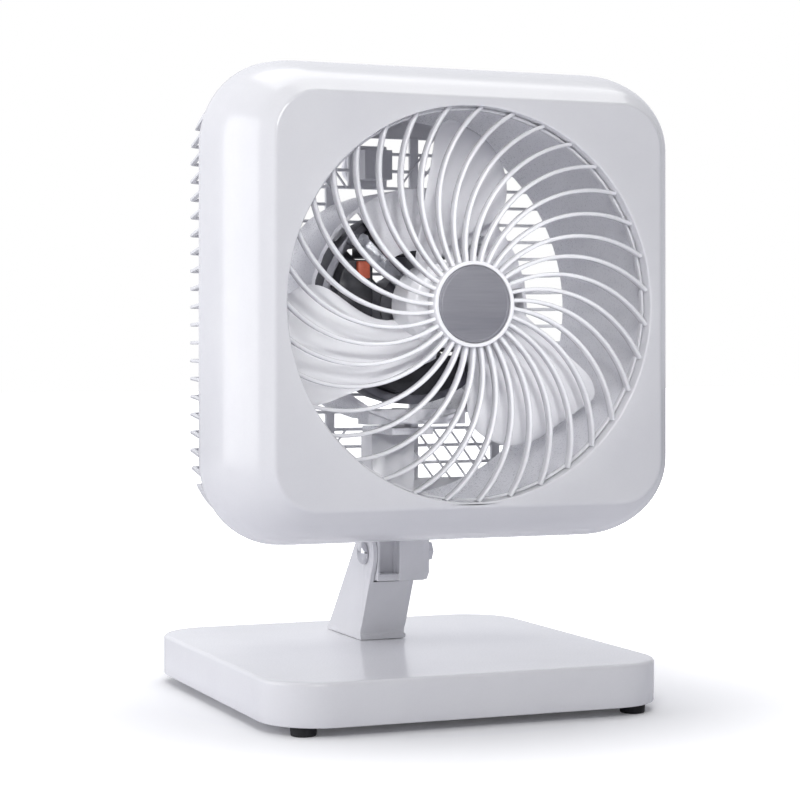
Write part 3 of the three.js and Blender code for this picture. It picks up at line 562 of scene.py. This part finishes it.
def rear_profile():
    """The rear cover's skin as (depth, inset, narrowing of the sides)."""
    out = []
    for k in range(13):
        t = k / 12
        depth = COVER_START + (COVER_BEND - COVER_START) * t
        out.append((depth, 1 + COVER_TAPER * t, NARROW * t))
    for k in range(1, 11):
        turn = math.pi / 2 * k / 10
        inset = 1 + COVER_TAPER + BEND_INSET * (1 - math.cos(turn))
        out.append((COVER_BEND + BEND_DEPTH * math.sin(turn), inset, NARROW))
    return out


def width_at(station, z):
    """Half the cover's width at a height."""
    _, inset, narrow = station
    half_x, half_z, radius = HALF_X - inset - narrow, HALF_Z - inset, CORNER - inset
    over = abs(z - LIFT) - (half_z - radius)
    if over <= 0:
        return half_x
    return half_x - radius + math.sqrt(radius**2 - over**2)


def slat(z):
    """One slat: down one side, across the back and up the other."""
    side = [(width_at(s, z), s[0]) for s in rear_profile() if s[0] >= SLAT_START]
    across = [(side[-1][0] * (1 - k / 8), REAR) for k in range(1, 9)]
    half = side + across
    path = half + [(-x, d) for x, d in reversed(half[:-1])]
    rings = []
    for i, (x, d) in enumerate(path):
        ahead, back = path[min(i + 1, len(path) - 1)], path[max(i - 1, 0)]
        way = Vector((ahead[0] - back[0], ahead[1] - back[1])).normalized()
        inward = Vector((-way.y, way.x))
        ring = []
        for over, deep in rounded(SLAT_PROFILE, 0.75, 3):
            ring.append(head_point(x + inward.x * deep, d + inward.y * deep, z + over))
        rings.append(ring)
    return loft(rings)


def trimmed(parts, low_z=None, high_z=None):
    """Points and faces cut level at a height, with the cut closed."""
    points, faces = parts
    bm = bmesh.new()
    verts = [bm.verts.new(p) for p in points]
    for face in faces:
        bm.faces.new([verts[i] for i in face])
    bmesh.ops.remove_doubles(bm, verts=bm.verts, dist=1e-4)
    for height, normal in ((low_z, -1), (high_z, 1)):
        if height is None:
            continue
        everything = list(bm.verts) + list(bm.edges) + list(bm.faces)
        cut = bmesh.ops.bisect_plane(
            bm, geom=everything, plane_co=(0, 0, height), plane_no=(0, 0, normal), clear_outer=True
        )
        edges = [e for e in cut["geom_cut"] if isinstance(e, bmesh.types.BMEdge)]
        bmesh.ops.triangle_fill(bm, use_beauty=True, edges=edges)
    bm.verts.index_update()
    made = [tuple(v.co) for v in bm.verts], [tuple(v.index for v in f.verts) for f in bm.faces]
    bm.free()
    return made


def cover_wall(stations, closed_back):
    """The cover's wall through some of its stations: outside, then inside."""
    outer = [head_ring(d, i, n) for d, i, n in stations]
    inner = [head_ring(min(d, REAR - WALL), i + WALL, n) for d, i, n in reversed(stations)]
    points, faces = loft(outer + inner, loop=not closed_back, caps=False)
    if closed_back:
        count = len(outer[0])
        last = (len(outer) - 1) * count
        keep = [f for f in faces if not (min(f) >= last and max(f) < last + 2 * count)]
        keep.append(tuple(range(last, last + count)))
        keep.append(tuple(range(last + count, last + 2 * count)))
        end = len(points) - count
        keep += [(i, (i + 1) % count, end + (i + 1) % count, end + i) for i in range(count)]
        faces = keep
    return points, faces


def lattice():
    """Thin slanting bars over the windows above and below the motor."""
    bars = []
    for k in range(LATTICE_BARS):
        foot = LATTICE_FIRST + LATTICE_PITCH * k
        head = foot + (LATTICE_TO - LATTICE_FROM) * LATTICE_LEAN
        for sx in (-1, 1):
            for sz in (-1, 1):
                rings = []
                for x, z in ((foot, LATTICE_FROM), (head, LATTICE_TO)):
                    ring = rounded(LATTICE_PROFILE, 0.4)
                    rings.append([head_point(sx * x + over, depth, sz * z) for over, depth in ring])
                bars.append(loft(rings))
    return bars


def rear_cover():
    """A band behind the seam, solid ends above and below, and slats, ribs, pads, lattice and screw tubes."""
    profile = rear_profile()
    band = BAND_EDGE + [s for s in profile[1:] if s[0] <= BAND_END]
    parts = [cover_wall(band, False)]
    depth, inset, narrow = band[-1]
    rest = [(depth - TUCK_DEPTH, inset + TUCK_INSET, narrow)]
    rest += [s for s in profile if s[0] > BAND_END]
    edge = (SLAT_COUNT + 0.5) * PITCH + (PITCH - SLAT_THICK) / 2
    parts.append(trimmed(cover_wall(rest, True), low_z=AXIS + edge))
    parts.append(trimmed(cover_wall(rest, True), high_z=AXIS - edge))
    parts += [slat(k * PITCH) for k in range(-SLAT_COUNT, SLAT_COUNT + 1)]
    top = edge + RIB_OVER
    for x in RIBS:
        low = head_point(x - RIB_HALF, REAR - RIB_DEEP, -top)
        parts.append(soft_box(low, head_point(x + RIB_HALF, REAR - RIB_SINK, top), RIB_ROUND))
    for x, z, half_x, half_z in PADS:
        low = head_point(x - half_x, REAR - PAD_DEEP, z - half_z)
        parts.append(soft_box(low, head_point(x + half_x, REAR - PAD_SINK, z + half_z), PAD_ROUND))
    parts += lattice()
    for sx in (-1, 1):
        for sz in (-1, 1):
            place = behind(POST_X * sx, POST_Z * sz + LIFT)
            parts.append(turned(rounded(TUBE_PROFILE, 0.4), place, 24))
    return piece("rear_cover_look", *merged(*parts), "shell_plastic", "head", ["rear_cover"], sharp=32)


# ---------------------------------------------------------------- rotor
BLADE_ROOT, BLADE_TIP = 22.0, 106.0
BLADE_START, BLADE_LENGTH = 21, 85
TRAIL, TRAIL_SHARE = 26.0, 0.8
LEAD, WIDEST = 37, 0.7
TIP_ROUND, TRAIL_ROUND, LEAD_ROUND = 13.0, 9, 13
TIP_CROWD = 1.35
BLADE_FRONT, BLADE_DEPTH = 34.5, 29.5
CAMBER, BLADE_HALF, EDGE_HALF = 2.2, 0.95, 0.05
BLADE_TURN, BLADES = 10, 3
CUP_PROFILE = [
    (4.5, 36.5),
    (20.5, 36.5),
    (24.5, 40.5),
    (24.5, 64),
    (22.5, 64),
    (22.5, 39.5),
    (9, 39.5),
    (9, 59),
    (4.5, 59),
]
NUT_PROFILE = [(4.4, 25.0), (5.5, 25.4), (8.6, 34.0), (8.6, 36.1), (4.4, 36.1)]


def blade_edges(radius):
    """How far the blade reaches to each side of its middle line at a radius."""
    share = (radius - BLADE_START) / BLADE_LENGTH
    trail = min(TRAIL, radius * TRAIL_SHARE)
    lead = LEAD * math.sin(math.pi / 2 * share / WIDEST) ** 2
    over = max(0.0, radius - (BLADE_TIP - TIP_ROUND)) / TIP_ROUND
    shrink = 1 - math.sqrt(max(0.0, 1 - over**2))
    return -(trail - TRAIL_ROUND * shrink), lead - LEAD_ROUND * shrink


def blade(turn):
    """One blade, with stations that crowd towards its rounded tip."""
    steps, across = 34, 14
    rings = []
    for s in range(steps + 1):
        share = s / steps
        radius = BLADE_ROOT + (BLADE_TIP - BLADE_ROOT) * (1 - (1 - share) ** TIP_CROWD)
        trail, lead = blade_edges(radius)
        upper, lower = [], []
        for k in range(across + 1):
            along = 0.5 - 0.5 * math.cos(math.pi * k / across)
            angle = turn + math.asin((trail + (lead - trail) * along) / radius)
            camber = CAMBER * math.sin(math.pi * along)
            depth = BLADE_FRONT + BLADE_DEPTH * along + camber
            half = BLADE_HALF * math.sqrt(max(0.0, 1 - abs(2 * along - 1) ** 6)) + EDGE_HALF
            x, z = radius * math.sin(angle), radius * math.cos(angle)
            upper.append(head_point(x, depth - half, z))
            lower.append(head_point(x, depth + half, z))
        rings.append(upper + lower[::-1])
    return loft(rings)


def fan_blade():
    parts = [turned(rounded(CUP_PROFILE, 1.6, 5), on_fan_axis, 96)]
    parts += [blade(math.radians(BLADE_TURN + 360 // BLADES * k)) for k in range(BLADES)]
    return piece("fan_blade_look", *merged(*parts), "blade_plastic", "rotor", ["fan_blade"], sharp=45)


def fan_nut():
    dome = turned(rounded(NUT_PROFILE, 1.2, 4), on_fan_axis, 48)
    return piece("fan_nut_look", *dome, "blade_plastic", "rotor", ["fan_nut"])


# ---------------------------------------------------------------- base and arm
BASE_X, BASE_Y, BASE_LOW, BASE_TOP, BASE_CORNER = 120.0, 123.5, 5.5, 30.0, 35.0
BASE_FILLET, BASE_WALL = 2.4, 2.6
BASE_EDGE = [(1.4, BASE_LOW), (0.7, BASE_LOW + 0.3), (0.35, BASE_LOW + 1.2)]
SIDE_LEAN = 0.2
TOP_RINGS, MIDDLE_INSET, LEAST_CORNER = (0.8, 12), 60, 2.0
BOSS_X, BOSS_Y = 88, 92
BOSS_PROFILE = [(2.1, 10.5), (5, 10.5), (5, 27.6), (2.1, 27.6)]
FOOT_X, FOOT_Y = 100, 107.5
FOOT_PROFILE = [(0.0, 0), (7.0, 0), (7.5, 5.8), (5.6, 6.2), (0.0, 6.2)]


def base_shell():
    """The lid: rounded side and top, a wall under them, and a boss for each screw."""
    fillet, wall = BASE_FILLET, BASE_WALL
    edge_inset, edge_z = BASE_EDGE[-1]
    side = BASE_TOP - fillet - edge_z
    stations = list(BASE_EDGE)
    stations += [(edge_inset - SIDE_LEAN * k / 4, edge_z + side * k / 4) for k in range(1, 5)]
    for k in range(1, 9):
        turn = math.pi / 2 * k / 8
        inset = edge_inset - SIDE_LEAN + fillet * (1 - math.cos(turn))
        stations.append((inset, BASE_TOP - fillet + fillet * math.sin(turn)))
    stations += [(fillet + over, BASE_TOP) for over in TOP_RINGS]
    stations.append((MIDDLE_INSET, BASE_TOP))
    under = [(MIDDLE_INSET, BASE_TOP - wall), (fillet + wall, BASE_TOP - wall)]
    under += [(wall, BASE_TOP - fillet), (wall, BASE_LOW)]
    rings = []
    for inset, z in stations + under:
        radius = max(BASE_CORNER - inset, LEAST_CORNER)
        ring = corner_ring(BASE_X - inset, BASE_Y - inset, radius)
        rings.append([(x, y, z) for x, y in ring])
    points, faces = loft(rings, loop=True)
    count = len(rings[0])
    top, below = (len(stations) - 1) * count, len(stations) * count
    keep = [f for f in faces if not (min(f) >= top and max(f) < below + count)]
    keep.append(tuple(range(top, top + count)))
    keep.append(tuple(range(below, below + count)))
    parts = [(points, keep)]
    for x in (-BOSS_X, BOSS_X):
        for y in (-BOSS_Y, BOSS_Y):
            parts.append(turned(rounded(BOSS_PROFILE, 0.4), along_z(x, y), 24))
    return piece("base_shell_look", *merged(*parts), "shell_plastic", "base", ["base_shell"], sharp=30)


def rubber_feet():
    places = ((x, y) for y in (-FOOT_Y, FOOT_Y) for x in (-FOOT_X, FOOT_X))
    for i, (x, y) in enumerate(places):
        pad = rounded(FOOT_PROFILE, 0.9, 4, closed=False)
        name = f"rubber_foot_{i + 1}"
        piece(name + "_look", *turned(pad, along_z(x, y), 48), "foot_rubber", "base", [name])


ARM_LEFT, ARM_RIGHT, ARM_FRONT, ARM_BACK, EAR = -15.5, 13.3, 27, 81, 15
EAR_INNER, EAR_RIGHT_FROM, EAR_RIGHT_TO = -13.1, 9.6, 12.6
EAR_SWING, BOLT_HOLE = 19, 3.3
CUT_LEFT, CUT_RIGHT, CUT_FRONT, CUT_BACK, CUT_ABOVE = -18, 16, -20, 60, 20
ARM_GAP = 0.3
HEEL = [(1.4, 0), (1.4, 2.6), (-1.2, 3.4)]
TOE_BACK, TOE_TOP, TOE_SHARE = 2.5, 3.0, 0.2
TOE_BEND = (-0.2, 3.4)
FLANGE_LOW, FLANGE_HIGH, FLANGE_ROUND = (-15.4, 24.8, 0.05), (14.6, 82.3, 2.9), 0.9
CARVED_EDGE, CARVED_ROUND = 35, 0.45
BOLT_FACE, BOLT_DOME, BOLT_RIM, BOLT_CROWN = -15.8, 7.0, 0.35, 3.4
BOLT_SHANK = [(0.0, -13.6), (3, -13.6), (3, 26), (0.0, 26)]
NECK_HALF, NECK_PROUD, NECK_ROUND = 3, 0.2, 0.3


def arm_outline(radius, front, back, foot):
    """The arm from the side, as (y, z): flange, front sweep, round ear, back."""

    def tangent(foot_y, side):
        away = math.hypot(foot_y - PIVOT_Y, foot - PIVOT_Z)
        return math.atan2(foot - PIVOT_Z, foot_y - PIVOT_Y) + side * math.acos(radius / away)

    start, end = tangent(back, 1), tangent(front, -1) + 2 * math.pi
    out = [(back + y, foot + z) for y, z in HEEL]
    steps = 40
    for k in range(steps + 1):
        angle = start + (end - start) * k / steps
        out.append((PIVOT_Y + radius * math.cos(angle), PIVOT_Z + radius * math.sin(angle)))
    last = Vector(out[-1])
    knee = Vector((front, foot))
    on_face = knee + (last - knee) * TOE_SHARE
    low = Vector((front - TOE_BACK, foot + TOE_TOP))
    middle = Vector((front + TOE_BEND[0], foot + TOE_BEND[1]))
    for k in range(8):
        t = k / 7
        out.append(tuple(on_face * (1 - t) ** 2 + middle * 2 * t * (1 - t) + low * t**2))
    out.append((front - TOE_BACK, foot))
    return out


def extruded(outline, low, high):
    return loft([[(low, y, z) for y, z in outline], [(high, y, z) for y, z in outline]])


def cylinder_x(radius, low, high, sides=96):
    """A cylinder along x on the pivot."""
    ring = []
    for k in range(sides):
        angle = 2 * math.pi * k / sides
        ring.append((PIVOT_Y + radius * math.cos(angle), PIVOT_Z + radius * math.sin(angle)))
    return extruded(ring, low, high)


def block(low, high):
    """A plain box for carving with."""
    x0, y0, z0 = low
    x1, y1, z1 = high
    return loft([[(x, y0, z0), (x, y1, z0), (x, y1, z1), (x, y0, z1)] for x in (x0, x1)])


def carved(whole, *cutters):
    """Points and faces after cutting others away and rounding the sharp edges."""
    made = []
    for index, (points, faces) in enumerate((whole, *cutters)):
        mesh = bpy.data.meshes.new(f"carve_{index}")
        mesh.from_pydata([Vector(p) for p in points], [], faces)
        bm = bmesh.new()
        bm.from_mesh(mesh)
        bmesh.ops.recalc_face_normals(bm, faces=bm.faces)
        bm.to_mesh(mesh)
        bm.free()
        thing = bpy.data.objects.new(f"carve_{index}", mesh)
        bpy.context.scene.collection.objects.link(thing)
        made.append(thing)
    for cutter in made[1:]:
        step = made[0].modifiers.new("cut", "BOOLEAN")
        step.operation = "DIFFERENCE"
        step.solver = "EXACT"
        step.object = cutter
    graph = bpy.context.evaluated_depsgraph_get()
    result = bpy.data.meshes.new_from_object(made[0].evaluated_get(graph))
    bm = bmesh.new()
    bm.from_mesh(result)
    bmesh.ops.dissolve_limit(bm, angle_limit=math.radians(1), verts=bm.verts, edges=bm.edges)
    limit = math.radians(CARVED_EDGE)
    edges = [e for e in bm.edges if len(e.link_faces) == 2 and e.calc_face_angle(0) > limit]
    bmesh.ops.bevel(
        bm, geom=edges, offset=CARVED_ROUND, segments=3, profile=0.5, affect="EDGES", clamp_overlap=True
    )
    bm.verts.index_update()
    out = [tuple(v.co) for v in bm.verts], [tuple(v.index for v in f.verts) for f in bm.faces]
    bm.free()
    for thing in made:
        bpy.data.objects.remove(thing)
    return out


def arm():
    """The arm with room cut between its ears for the head's hinge block, on a thin flange."""
    foot = BASE_TOP + ARM_GAP
    body = extruded(arm_outline(EAR, ARM_FRONT, ARM_BACK, foot), ARM_LEFT, ARM_RIGHT)
    ring = cylinder_x(EAR_SWING, EAR_INNER, EAR_RIGHT_FROM)
    right = cylinder_x(EAR_SWING, EAR_RIGHT_TO, CUT_RIGHT)
    web = block((EAR_INNER, CUT_FRONT, PIVOT_Z), (EAR_RIGHT_FROM, CUT_BACK, PIVOT_Z + CUT_ABOVE))
    hole = cylinder_x(BOLT_HOLE, CUT_LEFT, CUT_RIGHT, 32)
    made = carved(body, ring, right, web, hole)
    low, high = ((x, y, foot + z) for x, y, z in (FLANGE_LOW, FLANGE_HIGH))
    flange = soft_box(low, high, FLANGE_ROUND)
    return piece("arm_look", *merged(made, flange), "shell_plastic", "base", ["arm"], sharp=30)


def tilt_bolt():
    """A domed head, a square neck under it, and the shank through both ears."""
    face = BOLT_FACE
    dome = [(BOLT_DOME - 0.1, face), (BOLT_DOME, face - BOLT_RIM)]
    for k in range(1, 11):
        turn = math.pi / 2 * k / 10
        dome.append((BOLT_DOME * math.cos(turn), face - BOLT_RIM - BOLT_CROWN * math.sin(turn)))
    dome += [(0.0, face)]
    parts = [turned(dome, along_x(PIVOT_Y, PIVOT_Z), 64)]
    low = (face - NECK_PROUD, PIVOT_Y - NECK_HALF, PIVOT_Z - NECK_HALF)
    high = (EAR_INNER, PIVOT_Y + NECK_HALF, PIVOT_Z + NECK_HALF)
    parts.append(soft_box(low, high, NECK_ROUND))
    shank = rounded(BOLT_SHANK, 0.4, 3, closed=False)
    parts.append(turned(shank, along_x(PIVOT_Y, PIVOT_Z), 32))
    return piece("tilt_bolt_look", *merged(*parts), "bolt_chrome", "base", ["tilt_bolt"], sharp=45)


# ---------------------------------------------------------------- build
front_shell()
front_grille()
hub_badge()
air_duct()
rear_cover()
fan_blade()
fan_nut()
base_shell()
rubber_feet()
arm()
tilt_bolt()
refined("hinge_block", "shell_plastic", "head", width=0.5)
refined("clamp_knob", "inner_plastic", "clamp_knob", width=0.9, segments=3)
refined("speed_knob", "inner_plastic", "speed_knob", width=0.8, segments=3)
refined("motor_frame", "inner_plastic", "head", width=0.5)
refined("stator_core", "stator_steel", "head", width=0.3)
refined("front_bracket", "screw_steel", "head", width=0.4)
refined("rear_bracket", "screw_steel", "head", width=0.4)
refined("thermal_fuse", "fuse_red", "head", width=0.8, segments=3)
refined("speed_switch", "switch_plastic", "head", width=0.6)
refined("cable_gland", "foot_rubber", "head", width=0.5)
refined("base_plate", "inner_plastic", "base", width=0.4)
for number in range(1, 5):
    refined(f"coil_{number}", "winding_tape", "head", width=2.2, segments=4)

CAD_SHARP = 35
slots = {s["node"]: s["material_slot"] for s in frame["record"]["subparts"]}
for node, thing in frame["nodes"].items():
    thing.data.materials.clear()
    thing.data.materials.append(LOOK[slots[node]])
    thing.data.shade_smooth()
    thing.data.set_sharp_from_angle(angle=math.radians(CAD_SHARP))

# ---------------------------------------------------------------- stage
CAMERA_AT = Vector((-0.49296, -1.20053, 0.21054))
CAMERA_TO = Vector((0.0, 0.0362, 0.2163))
LENS, SENSOR, SHIFT = 96.95, 36, (0.0286, -0.081)
WHITE = (1, 1, 1, 1)
FLOOR_HALF = 8
FLOOR_PALE, FLOOR_DIM = (0.93, 0.93, 0.94, 1), (0.78, 0.78, 0.82, 1)
GLOW_FROM, GLOW_TO = 0.14, 0.55
GLOW_LEAST, GLOW_MOST = 0.05, 1.2
SKY_COLOUR = (0.93, 0.94, 1.0, 1)
SKY_FROM, SKY_TO = -0.5, 1.0
SKY_LEAST, SKY_MOST = 0.16, 0.95
SPOT_BLEND, SPOT_SIZE = 0.15, 0.03


def floor():
    """A pale floor that the camera sees brighten with distance, until it meets the white backdrop."""
    mesh = bpy.data.meshes.new("floor")
    h = FLOOR_HALF
    mesh.from_pydata([(-h, -h, 0), (h, -h, 0), (h, h, 0), (-h, h, 0)], [], [(0, 1, 2, 3)])
    made = bpy.data.objects.new("floor", mesh)
    bpy.context.scene.collection.objects.link(made)
    look = bpy.data.materials.new("pale_floor")
    look.use_nodes = True
    tree = look.node_tree
    tree.nodes.clear()
    out = _node(tree, "ShaderNodeOutputMaterial")
    seen = _node(tree, "ShaderNodeLightPath")
    pale = _node(tree, "ShaderNodeBsdfDiffuse", Color=FLOOR_PALE)
    dim = _node(tree, "ShaderNodeBsdfDiffuse", Color=FLOOR_DIM)
    glow = _node(tree, "ShaderNodeEmission", Color=WHITE)
    place = _node(tree, "ShaderNodeNewGeometry")
    away = _node(tree, "ShaderNodeVectorMath", operation="LENGTH")
    brighter = _node(tree, "ShaderNodeMapRange")
    brighter.inputs["From Min"].default_value = GLOW_FROM
    brighter.inputs["From Max"].default_value = GLOW_TO
    brighter.inputs["To Min"].default_value = GLOW_LEAST
    brighter.inputs["To Max"].default_value = GLOW_MOST
    _link(tree, place.outputs["Position"], away.inputs[0])
    _link(tree, away.outputs["Value"], brighter.inputs["Value"])
    _link(tree, brighter.outputs["Result"], glow.inputs["Strength"])
    both = _node(tree, "ShaderNodeAddShader")
    mix = _node(tree, "ShaderNodeMixShader")
    _link(tree, pale.outputs[0], both.inputs[0])
    _link(tree, glow.outputs[0], both.inputs[1])
    _link(tree, seen.outputs["Is Camera Ray"], mix.inputs[0])
    _link(tree, dim.outputs[0], mix.inputs[1])
    _link(tree, both.outputs[0], mix.inputs[2])
    _link(tree, mix.outputs[0], out.inputs["Surface"])
    mesh.materials.append(look)


def surroundings():
    """A sky that lights the fan more from behind it, and that the camera sees as plain white."""
    world = bpy.data.worlds.new("studio")
    bpy.context.scene.world = world
    world.use_nodes = True
    tree = world.node_tree
    tree.nodes.clear()
    out = _node(tree, "ShaderNodeOutputWorld")
    place = _node(tree, "ShaderNodeTexCoord")
    split = _node(tree, "ShaderNodeSeparateXYZ")
    ramp = _node(tree, "ShaderNodeMapRange")
    ramp.inputs["From Min"].default_value = SKY_FROM
    ramp.inputs["From Max"].default_value = SKY_TO
    ramp.inputs["To Min"].default_value = SKY_LEAST
    ramp.inputs["To Max"].default_value = SKY_MOST
    seen = _node(tree, "ShaderNodeLightPath")
    around = _node(tree, "ShaderNodeBackground", Color=SKY_COLOUR)
    white = _node(tree, "ShaderNodeBackground", Color=WHITE, Strength=1.0)
    mix = _node(tree, "ShaderNodeMixShader")
    _link(tree, place.outputs["Generated"], split.inputs[0])
    _link(tree, split.outputs["Y"], ramp.inputs["Value"])
    _link(tree, ramp.outputs["Result"], around.inputs["Strength"])
    _link(tree, seen.outputs["Is Camera Ray"], mix.inputs[0])
    _link(tree, around.outputs[0], mix.inputs[1])
    _link(tree, white.outputs[0], mix.inputs[2])
    _link(tree, mix.outputs[0], out.inputs["Surface"])


def aimed(made, at, to):
    made.location = at
    made.rotation_euler = (to - at).to_track_quat("-Z", "Y").to_euler()
    bpy.context.scene.collection.objects.link(made)


def area_light(name, at, to, power, width, height):
    lamp = bpy.data.lights.new(name, "AREA")
    lamp.shape = "RECTANGLE"
    lamp.size, lamp.size_y = width, height
    lamp.energy = power
    aimed(bpy.data.objects.new(name, lamp), Vector(at), Vector(to))


def spot(name, at, to, power, cone):
    lamp = bpy.data.lights.new(name, "SPOT")
    lamp.energy = power
    lamp.spot_size = math.radians(cone)
    lamp.spot_blend = SPOT_BLEND
    lamp.shadow_soft_size = SPOT_SIZE
    aimed(bpy.data.objects.new(name, lamp), Vector(at), Vector(to))


def camera():
    lens = bpy.data.cameras.new("view")
    lens.lens = LENS
    lens.sensor_width = SENSOR
    lens.shift_x, lens.shift_y = SHIFT
    made = bpy.data.objects.new("view", lens)
    aimed(made, CAMERA_AT, CAMERA_TO)
    bpy.context.scene.camera = made


floor()
surroundings()
area_light("left_bank", (-1.8, 0.45, 0.3), (-0.1, 0, 0.12), power=17, width=1.5, height=1.7)
area_light("top_bank", (0.15, 0.35, 1.5), (0, 0, 0.2), power=7, width=1.4, height=1.0)
area_light("key", (-0.38, -0.95, 0.75), (0, -0.1, 0.24), power=4.9, width=0.4, height=0.4)
badge = (0, FACE * MM, AXIS * MM)
spot("opening_left", (-0.52, -1.45, 0.48), badge, power=27, cone=7.1)
spot("opening_top", (0.12, -1.45, 0.75), badge, power=12, cone=7.1)
camera()
bpy.context.scene.view_settings.view_transform = "Standard"
